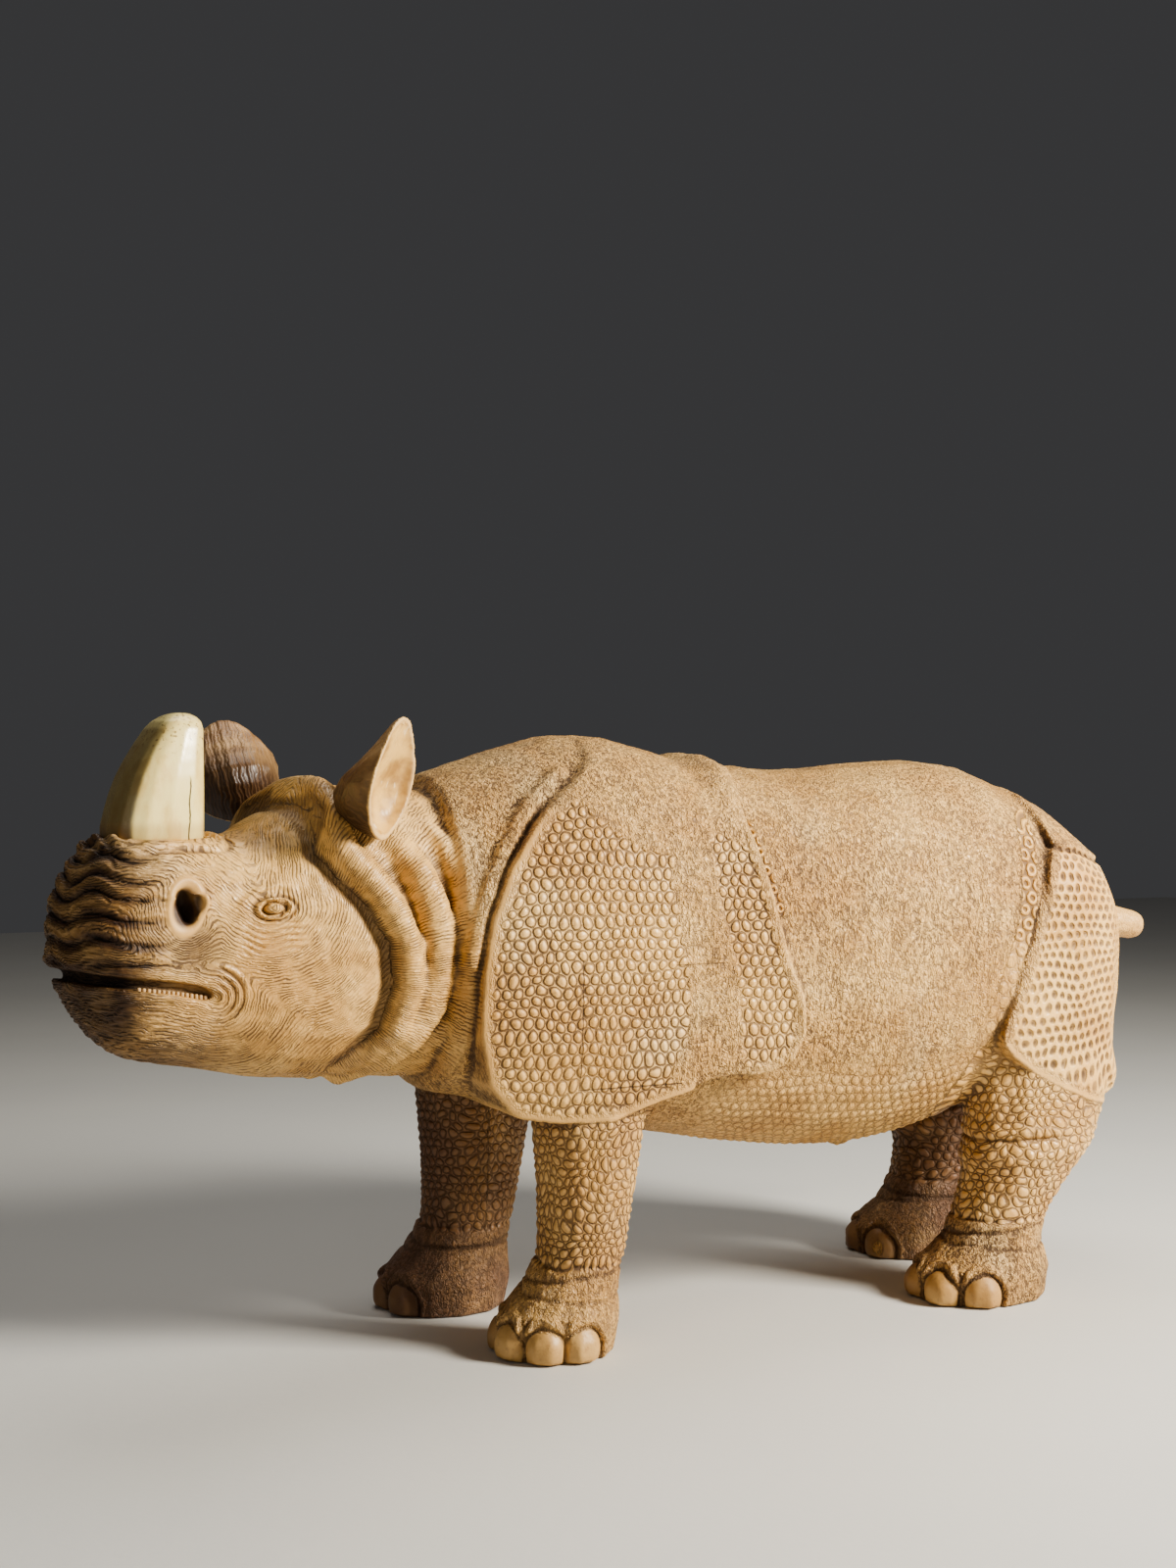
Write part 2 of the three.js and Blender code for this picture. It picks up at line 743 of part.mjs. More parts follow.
function earHull(side, depth, width, length, lift, grow) {
  const frame = earFrame(side);
  return loft({
    from: lift - grow,
    to: lift + length + grow,
    roundFrom: length * 0.16,
    roundTo: length * 0.1,
    endRings: 3,
    rings: 5,
    sides: 12,
    section: (along) => {
      const [wide, deep] = earLines((along - lift) / length);
      const half = (width / 2) * wide + grow;
      return { side: 0, mid: 0, wide: deep * depth + grow, up: half, down: half, power: EAR_FULLNESS };
    },
    place: (along, out, across) => new THREE.Vector3(out, across, along).applyMatrix4(frame),
  });
}

function ear(side, grow = 0) {
  const reach = EAR_LENGTH * 2;
  const front = new THREE.BoxGeometry(reach, reach, reach);
  front.translate(reach / 2 + grow, 0, EAR_LENGTH / 2);
  front.applyMatrix4(earFrame(side));
  const hull = earHull(side, EAR_BACK_DEPTH, EAR_WIDTH, EAR_LENGTH, 0, grow).subtract(solid(front));
  if (grow > 0) return hull;
  const cup = earHull(side, EAR_CUP_DEPTH, EAR_WIDTH - 2 * EAR_RIM, EAR_LENGTH - 2 * EAR_RIM, EAR_RIM, 0);
  return hull.subtract(cup);
}

// Tail: a round-ended stub in a blind socket under the ledge

const tailHeight = 500 * unit;
const TAIL_ROOT_SHARE = 1.4;
const TAIL_TAPER = 0.42;

function tail(grow = 0) {
  const root = new THREE.Vector3(torsoEnd - TAIL_SOCKET_DEPTH, 0, tailHeight);
  const total = TAIL_LENGTH + TAIL_SOCKET_DEPTH;
  const frame = new THREE.Matrix4().makeTranslation(root.x, root.y, root.z);
  frame.multiply(new THREE.Matrix4().makeRotationY(radians(90 + TAIL_DROOP)));
  return loft({
    from: -grow,
    to: total + grow,
    roundFrom: 0,
    roundTo: TAIL_DIAMETER * 0.4,
    endRings: 3,
    rings: 4,
    sides: 12,
    section: (along) => {
      const radius = (TAIL_DIAMETER / 2) * (TAIL_ROOT_SHARE - TAIL_TAPER * (along / total)) + grow;
      return { side: 0, mid: 0, wide: radius, up: radius, down: radius, power: 2 };
    },
    place: (along, across, up) => new THREE.Vector3(across, up, along).applyMatrix4(frame),
  });
}

function body() {
  const reach = SHOULDER_HEIGHT * 4;
  const belowFloor = new THREE.BoxGeometry(reach, reach, SHOULDER_HEIGHT);
  belowFloor.translate(0, 0, -SHOULDER_HEIGHT / 2);
  const parts = [
    torsoSkin(() => 0, 0),
    shoulderArmour(),
    ...ropes(),
    ...shoulderRidges(),
    rumpArmour(),
    headSkin(0),
    ...neckRolls.flatMap((roll) => onBothSides((side) => neckRoll(roll, side))),
    ...onBothSides(nostrilRim),
    ...onBothSides(eye),
    ...legs.map(leg),
    ...legs.flatMap(toesOf),
    ...legs.slice(2).map(kneeFold),
  ];
  const cuts = [
    solid(belowFloor),
    mouthCut(),
    ...onBothSides(nostrilHole),
  ];
  const seats = [horn(SEAT_GAP), ...onBothSides((side) => ear(side, SEAT_GAP)), tail(SEAT_GAP)];
  const without = (whole, next) => whole.subtract(next);
  const carved = cuts.reduce(without, joined(parts)).simplify(SURFACE_TOLERANCE);
  return largest(seats.reduce(without, carved));
}

// Materials

const carvedWood = new THREE.MeshStandardMaterial({ color: 0xc29a68, roughness: 0.62, metalness: 0 });
const smoothWood = new THREE.MeshStandardMaterial({ color: 0x94704a, roughness: 0.5, metalness: 0 });
const paleHorn = new THREE.MeshStandardMaterial({ color: 0xd9c99c, roughness: 0.35, metalness: 0 });

const pieces = [
  ['rhinoceros_body', body(), carvedWood],
  ['horn', horn(), paleHorn],
  ['ear_left', ear(1), smoothWood],
  ['ear_right', ear(-1), smoothWood],
  ['tail', tail(), carvedWood],
];

// The origin goes under the middle of the whole figure, on the floor
const figure = new THREE.Group();
for (const [name, shape, material] of pieces) {
  const mesh = new THREE.Mesh(geometryOf(shape), material);
  mesh.name = name;
  figure.add(mesh);
}
const bounds = new THREE.Box3().setFromObject(figure);
const centre = bounds.getCenter(new THREE.Vector3());
figure.position.set(-centre.x, -centre.y, -bounds.min.z);

export default figure;
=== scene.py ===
# %% [markdown]
# # A carved wooden rhinoceros
# The solids give the animal's stance: trunk, armour plates, rolls of skin, legs, toes, horn, ears and tail.
# This lesson keeps that form and adds what the carver's fine tools left on it: strokes of hair on the
# head, rings of scales on the plates and legs, creases in the skin, and the colour of old, worn wood.

import json
import math

import bpy
import numpy as np
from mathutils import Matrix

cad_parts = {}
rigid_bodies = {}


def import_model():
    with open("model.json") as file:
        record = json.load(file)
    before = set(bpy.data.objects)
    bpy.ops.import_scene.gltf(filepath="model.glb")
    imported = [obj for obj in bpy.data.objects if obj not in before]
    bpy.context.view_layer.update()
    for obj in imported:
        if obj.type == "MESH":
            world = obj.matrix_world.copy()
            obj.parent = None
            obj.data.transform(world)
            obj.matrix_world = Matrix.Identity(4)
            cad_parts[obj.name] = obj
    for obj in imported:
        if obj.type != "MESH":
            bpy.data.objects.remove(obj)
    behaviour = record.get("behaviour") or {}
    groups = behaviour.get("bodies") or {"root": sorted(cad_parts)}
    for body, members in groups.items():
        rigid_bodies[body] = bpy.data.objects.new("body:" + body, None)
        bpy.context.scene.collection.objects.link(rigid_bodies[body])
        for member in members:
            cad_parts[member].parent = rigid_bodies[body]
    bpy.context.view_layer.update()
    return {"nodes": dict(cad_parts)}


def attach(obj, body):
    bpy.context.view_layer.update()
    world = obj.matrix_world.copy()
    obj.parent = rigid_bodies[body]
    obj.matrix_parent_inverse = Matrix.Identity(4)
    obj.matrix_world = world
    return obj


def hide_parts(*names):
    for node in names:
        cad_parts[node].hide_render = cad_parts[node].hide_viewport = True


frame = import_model()
bpy.ops.object.select_all(action="DESELECT")

# %% [markdown]
# ## The carver's own frame
# Every mark is placed by millimetres in the frame that the figure was drawn in: x runs from nose to tail,
# y across, z up. The head is turned to one side, so it has a frame of its own: forward along the nose,
# side away from its middle, and up.

# %% Places in millimetres
FIGURE_MIDDLE = np.array([11.3, 8.31, 0.0])
NECK_X = -330.0
HEAD_TURN = math.radians(15)
MM = 1000.0


def carver_frame(points):
    """x, y and z in millimetres, of points in metres."""
    return (points * MM - FIGURE_MIDDLE).T


def head_frame(x, y):
    """How far forward along the head, and how far to its side, each point is."""
    forward = -(x - NECK_X) * math.cos(HEAD_TURN) - y * math.sin(HEAD_TURN)
    side = (x - NECK_X) * math.sin(HEAD_TURN) - y * math.cos(HEAD_TURN)
    return forward, side


def from_head(forward, side, up):
    """The place in metres of a point in the head's frame."""
    x = NECK_X - forward * math.cos(HEAD_TURN) + side * math.sin(HEAD_TURN)
    y = -forward * math.sin(HEAD_TURN) - side * math.cos(HEAD_TURN)
    return tuple((np.array([x, y, up]) + FIGURE_MIDDLE) / MM)


def head_frame_direction(directions):
    """The same turn for directions, which have no place."""
    return head_frame(directions[:, 0] + NECK_X, directions[:, 1])


def step(low, high, value):
    """0 below low, 1 above high, smooth between."""
    share = np.clip((value - low) / (high - low), 0.0, 1.0)
    return share * share * (3.0 - 2.0 * share)


def bump_at(value, middle, width):
    """A smooth hill of height 1 round a middle value."""
    return np.exp(-(((value - middle) / width) ** 2))


def line_distance(across, up, line):
    """Distance to a line of straight pieces, its sign (positive on its left), and the way along it."""
    best = np.full(across.shape, 1e9)
    sign = np.ones(across.shape)
    along = np.zeros(across.shape)
    run = 0.0
    for (a0, b0), (a1, b1) in zip(line[:-1], line[1:]):
        da, db = a1 - a0, b1 - b0
        length = math.hypot(da, db)
        t = np.clip(((across - a0) * da + (up - b0) * db) / length**2, 0.0, 1.0)
        away = np.hypot(across - a0 - t * da, up - b0 - t * db)
        nearer = away < best
        best = np.where(nearer, away, best)
        turn = da * (up - b0) - db * (across - a0)
        sign = np.where(nearer, np.where(turn >= 0, 1.0, -1.0), sign)
        along = np.where(nearer, run + t * length, along)
        run += length
    return best, sign, along


def inside(across, up, outline):
    """Distance to a closed outline, positive inside it."""
    closed = outline + outline[:1]
    away, _, _ = line_distance(across, up, closed)
    crossings = np.zeros(across.shape, int)
    for (a0, b0), (a1, b1) in zip(closed[:-1], closed[1:]):
        if b0 == b1:
            continue
        spans = (b0 > up) != (b1 > up)
        crossings += spans & (across < a0 + (up - b0) * (a1 - a0) / (b1 - b0))
    return np.where(crossings % 2 == 1, away, -away)


def soft_least(first, second, blend):
    """The smaller of two values, with a rounded change between them."""
    gap = np.clip(0.5 + 0.5 * (second - first) / blend, 0.0, 1.0)
    return second + (first - second) * gap - blend * gap * (1.0 - gap)


def noise(points, size, seed):
    """Smooth noise from -1 to 1, with features of the given size in millimetres."""
    table = np.random.default_rng(seed).uniform(-1.0, 1.0, 4096)
    place = np.stack(points, axis=-1) / size
    cell = np.floor(place).astype(np.int64)
    part = place - cell
    part = part * part * (3.0 - 2.0 * part)
    total = np.zeros(len(place))
    for corner in range(8):
        step_by = np.array([corner & 1, (corner >> 1) & 1, (corner >> 2) & 1])
        key = (cell + step_by) @ np.array([73856093, 19349663, 83492791])
        weight = np.where(step_by == 1, part, 1.0 - part).prod(axis=1)
        total += weight * table[np.abs(key) % 4096]
    return total


print("head turned by", round(math.degrees(HEAD_TURN)), "degrees")

# %% [markdown]
# ## Shader maths as Python
# A material is a net of nodes. One small class wraps a socket, so that an expression on values adds its
# Math nodes, and one method adds any other node.

# %% Node expressions
class Value:
    """A node socket that Python arithmetic can be done on."""

    def __init__(self, tree, socket):
        self.tree = tree
        self.socket = socket

    def operate(self, operation, *values):
        node = self.tree.nodes.new("ShaderNodeMath")
        node.operation = operation
        for socket, value in zip(node.inputs, values):
            put(self.tree, socket, value)
        return Value(self.tree, node.outputs[0])

    def math(self, operation, *others):
        return self.operate(operation, self, *others)

    def __add__(self, other):
        return self.math("ADD", other)

    def __mul__(self, other):
        return self.math("MULTIPLY", other)

    __radd__ = __add__
    __rmul__ = __mul__

    def __sub__(self, other):
        return self.math("SUBTRACT", other)

    def __rsub__(self, other):
        return self.operate("SUBTRACT", other, self)

    def clamp(self):
        node = self.tree.nodes.new("ShaderNodeClamp")
        put(self.tree, node.inputs[0], self)
        return Value(self.tree, node.outputs[0])


def put(tree, socket, value):
    """Links a value to a socket, or sets a constant on it."""
    if isinstance(value, Value):
        tree.links.new(value.socket, socket)
    else:
        socket.default_value = value


class Finish:
    """A material and the nodes in it."""

    def __init__(self, name):
        self.material = bpy.data.materials.new(name)
        self.material.use_nodes = True
        self.tree = self.material.node_tree
        self.shader = self.tree.nodes["Principled BSDF"]

    def new(self, kind, **settings):
        node = self.tree.nodes.new("ShaderNode" + kind)
        for key, value in settings.items():
            setattr(node, key, value)
        return node

    def node(self, kind, output=0, settings=None, **sockets):
        """Adds a node: its settings first, then the values or links of its sockets."""
        node = self.new(kind, **(settings or {}))
        for key, value in sockets.items():
            key = key.replace("_", " ")
            socket = node.inputs[int(key[1:])] if key[:1] == "i" and key[1:].isdigit() else node.inputs[key]
            put(self.tree, socket, value)
        return Value(self.tree, node.outputs[output])

    def attribute(self, name, output="Fac"):
        return Value(self.tree, self.new("Attribute", attribute_name=name).outputs[output])

    def parts(self, value, kind="XYZ"):
        """The three numbers of a vector or colour."""
        split = self.new("Separate" + kind)
        put(self.tree, split.inputs[0], value)
        return [Value(self.tree, split.outputs[k]) for k in range(3)]

    def channels(self, name):
        """The three numbers that a mesh keeps under a name."""
        return self.parts(self.attribute(name, "Color"), "Color")

    def place(self, stretch=(1, 1, 1)):
        """Object coordinates, stretched."""
        place = Value(self.tree, self.new("TexCoord").outputs["Object"])
        return self.node("Mapping", Vector=place, Scale=stretch)

    def wavy(self, place, scale, reach):
        """The same coordinates, pushed about by noise."""
        push = self.node("TexNoise", 1, Vector=place, Scale=scale, Detail=1.0)
        return self.node(
            "VectorMath", 0, {"operation": "MULTIPLY_ADD"}, i0=push, i1=(reach, reach, reach), i2=place
        )

    def noise(self, scale, detail=3.0, stretch=(1, 1, 1), roughness=0.55):
        place = self.place(stretch)
        return self.node("TexNoise", Vector=place, Scale=scale, Detail=detail, Roughness=roughness)

    def ramp(self, value, low, high):
        """0 below low and 1 above high."""
        node = self.new("MapRange", interpolation_type="SMOOTHSTEP")
        for socket, number in zip(node.inputs, (value, low, high, 0.0, 1.0)):
            put(self.tree, socket, number)
        return Value(self.tree, node.outputs[0])

    def mix(self, share, first, second, blend="MIX"):
        """A colour between two colours."""
        node = self.new("Mix", data_type="RGBA", blend_type=blend)
        put(self.tree, node.inputs[0], share)
        for socket, value in zip((node.inputs[6], node.inputs[7]), (first, second)):
            put(self.tree, socket, value if isinstance(value, Value) else (*value, 1.0))
        return Value(self.tree, node.outputs[2])

    def coats(self, colour, *layers):
        """Coats of colour laid over each other, each by its own share."""
        for share, coat in layers:
            colour = self.mix(share, colour, linear(*coat))
        return colour

    def bump(self, height, distance):
        return self.node("Bump", Height=height, Distance=distance, Strength=1.0)

    def surface(self, colour, roughness, normal):
        for key, value in (("Base Color", colour), ("Roughness", roughness), ("Normal", normal)):
            put(self.tree, self.shader.inputs[key], value)

    def cover(self, piece):
        """Makes this the only material of a piece."""
        piece.data.materials.clear()
        piece.data.materials.append(self.material)


def linear(red_and_leg_shade, green, blue):
    """A colour as a paint card gives it, 0 to 255, turned into light."""
    shares = (red_and_leg_shade / 255, green / 255, blue / 255)
    return tuple(c / 12.92 if c < 0.04 else ((c + 0.055) / 1.055) ** 2.4 for c in shares)


print("finishes ready")

# %% [markdown]
# ## Camera, floor and light
# The camera stands level, just below the top of the back and towards the head's end. The key light is a
# warm soft box high on the right; a weak cool one on the left and one above lighten the shadows.

# %% Camera
camera_data = bpy.data.cameras.new("camera")
camera_data.sensor_fit = "VERTICAL"
camera_data.sensor_height = 36
camera_data.lens = 45
camera = bpy.data.objects.new("camera", camera_data)
camera.location = (-1.1687, -2.2887, 0.684)
camera.rotation_euler = (math.radians(90), 0, math.radians(-24.9))
bpy.context.scene.collection.objects.link(camera)
bpy.context.scene.camera = camera
print("camera at", tuple(round(c, 2) for c in camera.location))

# %% Floor and lights
bpy.ops.mesh.primitive_plane_add(size=14, location=(0, 0, -0.0005))
floor = bpy.context.object
floor.name = "floor"
bpy.ops.object.transform_apply(location=True, rotation=False, scale=False)
pale = Finish("pale_floor")
pale_shade = pale.mix(pale.noise(2.0), linear(206, 204, 198), linear(214, 212, 206))
pale.surface(pale_shade, 0.6, pale.bump(pale.noise(40.0), 0.0004))
floor.data.materials.append(pale.material)


def soft_box(name, place, target, size, watts, tint):
    light = bpy.data.lights.new(name, "AREA")
    light.shape = "RECTANGLE"
    light.size, light.size_y = size
    light.energy = watts
    light.color = tint
    lamp = bpy.data.objects.new(name, light)
    lamp.location = place
    aim = np.array(target) - np.array(place)
    flat = math.hypot(aim[0], aim[1])
    lamp.rotation_euler = (math.atan2(flat, -aim[2]), 0, math.atan2(-aim[0], aim[1]))
    bpy.context.scene.collection.objects.link(lamp)
    return lamp


soft_box("key_light", (2.1, -2.1, 2.0), (0.0, 0, 0.4), (0.9, 0.9), 250, (1.0, 0.96, 0.88))
soft_box("left_light", (-2.8, -1.8, 1.4), (-0.3, 0, 0.4), (1.6, 1.6), 9, (0.95, 0.97, 1.0))
soft_box("top_light", (-0.2, 0.7, 2.9), (0, 0, 0.4), (1.6, 1.6), 26, (1.0, 0.98, 0.95))
world = bpy.data.worlds.new("studio")
world.use_nodes = True
world.node_tree.nodes["Background"].inputs[0].default_value = (0.055, 0.055, 0.057, 1)
world.node_tree.nodes["Background"].inputs[1].default_value = 1.0
bpy.context.scene.world = world
bpy.context.scene.view_settings.look = "AgX - Medium High Contrast"
print("three lamps and a floor")

# %% [markdown]
# ## The carved block
# The solid is cut from flat facets. A copy of it is made of even small squares, which the relief
# can move, and then its facets are rubbed smooth: much on the barrel, hardly at all at the edges of
# plates, the mouth, the nostrils and the toes.

# %% Outlines of the armour, seen from the side
PLATE = [
    (-60, 780), (-140, 770), (-176, 712), (-204, 688), (-256, 644), (-299, 588), (-326, 526), (-337, 460),
    (-339, 392), (-325, 332), (-289, 292), (-229, 281), (-164, 282), (-110, 300), (-62, 312), (-16, 328),
    (27, 326), (66, 338), (84, 369), (84, 418), (62, 467), (48, 520), (33, 582), (20, 640), (30, 700),
    (40, 760),
]
FRONT_SCALES = [
    (-420, 720), (-215, 672), (-170, 630), (-127, 604), (-88, 600), (-94, 566), (-83, 495), (-75, 459),
    (-71, 388), (-91, 343), (-110, 240), (-420, 240),
]
REAR_SCALES = [
    (-35, 617), (-21, 627), (20, 600), (40, 560), (52, 491), (77, 417), (66, 352), (14, 333), (4, 337),
    (-2, 385), (-10, 464), (-31, 547),
]
REAR_RIM = [
    (8, 668), (16, 640), (28, 582), (45, 520), (60, 467), (82, 418), (82, 369), (66, 341), (27, 329),
]
FLAP = [
    (492, 612), (470, 549), (444, 490), (428, 435), (398, 372), (392, 346), (411, 326), (448, 303),
    (495, 278), (545, 258), (591, 248), (631, 246), (664, 262), (820, 300), (820, 610),
]
RUMP_LINE = [(470, 622), (457, 564), (449, 516), (436, 475), (424, 447), (408, 400), (384, 352)]
LEDGE = [
    (478, 770), (484, 690), (487, 640), (492, 604), (540, 596), (600, 578), (660, 548), (820, 520),
    (820, 770),
]
TRACK = 128.0
FRONT_TOES = (-27, 13, 56, 98)
HIND_TOES = (-20, 18, 58)
FRONT_LEG = {"toes": FRONT_TOES, "foot": (-218, 72, 68), "knee": -180, "top": 292}
HIND_LEG = {"toes": HIND_TOES, "foot": (405, 92, 76), "knee": 466, "top": 345}
LEGS = [
    {**FRONT_LEG, "side": -1, "step": 0, "girth": 1.0},
    {**FRONT_LEG, "side": 1, "step": -48, "girth": 1.13},
    {**HIND_LEG, "side": -1, "step": 0, "girth": 1.0},
    {**HIND_LEG, "side": 1, "step": 76, "girth": 1.08},
]
ROLL_EDGE = [
    (200, 700), (222, 645), (230, 606), (212, 578), (180, 545), (154, 500), (148, 455), (158, 402),
    (196, 350),
]
NOSTRIL = (388.0, 551.0)
EYE_PLACE = (287.0, 546.0)
HORN_FORWARD = 381.0
MOUTH = [(358, 449), (366, 455), (400, 463), (450, 470), (500, 478), (530, 483)]
print("plates:", len(PLATE), "corners, flap:", len(FLAP))

# %% A fine copy of the block
VOXEL = 0.0023


def choose(piece):
    """Selects one piece alone and makes it the active one."""
    bpy.ops.object.select_all(action="DESELECT")
    piece.select_set(True)
    bpy.context.view_layer.objects.active = piece


def apply_modifier(piece, kind, **settings):
    modifier = piece.modifiers.new(kind.lower(), kind)
    for key, value in settings.items():
        setattr(modifier, key, value)
    bpy.context.view_layer.objects.active = piece
    bpy.ops.object.modifier_apply(modifier=modifier.name)


def fine_copy(node, name, voxel):
    """A copy of a solid, made of even small squares."""
    source = frame["nodes"][node]
    piece = source.copy()
    piece.data = source.data.copy()
    piece.parent = None
    piece.name = name
    for key in list(piece.keys()):
        del piece[key]
    bpy.context.scene.collection.objects.link(piece)
    choose(piece)
    bpy.ops.object.mode_set(mode="EDIT")
    bpy.ops.mesh.select_all(action="SELECT")
    bpy.ops.mesh.remove_doubles(threshold=0.0001)
    bpy.ops.object.mode_set(mode="OBJECT")
    apply_modifier(piece, "REMESH", mode="VOXEL", voxel_size=voxel)
    return piece


def read_three(items, key):
    """Three numbers of every corner or face of a mesh, as rows."""
    flat = np.empty(len(items) * 3, np.float32)
    items.foreach_get(key, flat)
    return flat.reshape(-1, 3).astype(float)


def corners(piece):
    return read_three(piece.data.vertices, "co")


def normals(piece):
    return read_three(piece.data.vertices, "normal")


def set_corners(piece, points):
    piece.data.vertices.foreach_set("co", points.astype(np.float32).ravel())
    piece.data.update()


RUB_LEVELS = 12


def smooth_by(piece, weights, rounds):
    """Rubs a piece smooth, by one weight for all corners or one for each."""
    group = piece.vertex_groups.new(name="rub")
    weights = np.broadcast_to(weights, len(piece.data.vertices))
    levels = np.clip(np.round(weights * RUB_LEVELS), 0, RUB_LEVELS).astype(int)
    for level in range(1, RUB_LEVELS + 1):
        chosen = np.nonzero(levels == level)[0]
        if len(chosen):
            group.add(chosen.tolist(), level / RUB_LEVELS, "REPLACE")
    apply_modifier(piece, "SMOOTH", factor=0.5, iterations=rounds, vertex_group="rub")
    piece.vertex_groups.clear()


block = fine_copy("rhinoceros_body", "carved_block", VOXEL)
print("block:", len(block.data.vertices), "corners")

# %% Rub the facets smooth
x, y, z = carver_frame(corners(block))
forward, side = head_frame(x, y)
plate_in = inside(x, z, PLATE)
flap_in = inside(x, z, FLAP)
ledge_in = inside(x, z, LEDGE)
plate_top = 60 * step(645, 685, z)
behind_plate = 22 * step(-40, 10, x) * step(380, 460, z)
flap_front = 14 * (x < 470) * (z > 360)
border = np.minimum(np.abs(plate_in) + plate_top + behind_plate, np.abs(flap_in) + flap_front)
border = np.minimum(border, np.abs(ledge_in) + 50 * (1 - step(510, 560, x)))
rub = np.clip(border / 28.0, 0.12, 1.0)
mouth_away, _, _ = line_distance(forward, z, MOUTH)
nostril_away = np.hypot(forward - NOSTRIL[0], z - NOSTRIL[1])
eye_away = np.hypot(forward - EYE_PLACE[0], z - EYE_PLACE[1])
head_rub = 0.8 * step(8, 40, mouth_away) * step(28, 50, nostril_away) * step(12, 30, eye_away)
head_share = step(60, 100, forward)
neck_share = step(-60, -20, forward) * (plate_in < -6)
rub = rub * (1 - 0.6 * neck_share)
rub = rub * (1 - head_share) + np.clip(head_rub, 0.14, 1) * head_share
foot_share = 1 - step(62, 110, z)
rub = rub * (1 - foot_share) + 0.25 * foot_share
smooth_by(block, rub, 70)
smooth_by(block, 0.5, 3)
print("rubbed smooth")

# %% [markdown]
# ## The relief
# The strokes of hair follow a few guide lines on the head: round the mouth, round the nostril, and a line
# that comes from the nose to the eye and turns up over the brow. A stroke runs where the distance to the
# nearest guide stays the same, so the strokes sweep under the eye and fan out on the cheek. All places
# and heights of the relief are in millimetres.

# %% Fields that the marks follow
SIDE_VIEW = (0.642, -0.767)
EYE = (-151.0, EYE_PLACE[1])
MOUTH_CORNER = (-212.0, 452.0)
BROW_GUIDE = [(-171, 706), (-166, 646), (-156, 596), EYE]
NOSE_GUIDE = [EYE, (-167, 549), (-215, 590), (-247, 613), (-295, 617), (-391, 608)]
MOUTH_GUIDE = [(-210, 450), (-216, 455), (-245, 463), (-289, 470), (-360, 478)]
NOSTRIL_GUIDE = [(-236, 536), (-240, 568)]
SCALE_PITCH = 14.0
TORSO_ARC = 212.0


def hair_field(across, up):
    """A number that stays the same along each stroke of hair, in millimetres across the strokes."""
    guides = (BROW_GUIDE, NOSE_GUIDE, MOUTH_GUIDE, NOSTRIL_GUIDE)
    brow, nose, lips, nostril = (line_distance(across, up, guide)[0] for guide in guides)
    field = soft_least(brow, nose, 14.0)
    field = soft_least(field, lips + 38.0, 16.0)
    return soft_least(field, nostril + 14.0, 12.0)


def ring_distance(across_row, along_row):
    """How far from the middle of the nearest scale, from 0 to about 1 at the border between two."""
    nearest = np.full(across_row.shape, 9.0)
    for shift in (0.0, 0.5):
        a = np.mod(across_row + shift, 1.0) - 0.5
        b = (np.mod(along_row + shift, 1.0) - 0.5) * math.sqrt(3)
        nearest = np.minimum(nearest, np.hypot(a, b))
    return nearest * 2


def hill(ring, reach):
    """A rounded hill on each scale, 1 in its middle and 0 from reach outwards."""
    return np.cos(np.clip(ring / reach, 0, 1) * math.pi) * 0.5 + 0.5


x, y, z = carver_frame(corners(block))
points = (x, y, z)
forward, side = head_frame(x, y)
across = SIDE_VIEW[0] * np.abs(side) + SIDE_VIEW[1] * forward
ripple = noise(points, 34.0, 1)
fine_ripple = noise(points, 11.0, 2)
broad = noise(points, 120.0, 3)
flank = step(60, 95, np.abs(y))
plate_in = inside(x, z, PLATE)
flap_in = inside(x, z, FLAP)
flap_in = np.where(np.abs(y) > 100, flap_in, -np.abs(flap_in))
ledge_in = inside(x, z, LEDGE)
roll_away, roll_sign, _ = line_distance(forward, z, ROLL_EDGE)
before_rolls = roll_sign * roll_away
on_head = step(-2, 2, before_rolls) * (forward > 100)
on_neck = (1 - on_head) * step(46, 66, forward) * (plate_in < 0) * (z > 300)
print("head:", int(on_head.sum()), "neck:", int(on_neck.sum()), "corners")

# %% [markdown]
# The legs are round, so their scales run in rows round them. Each toe is a rounded nail at the rim of the
# foot, found by how near a corner lies to it; the second nearest toe tells where two nails meet.

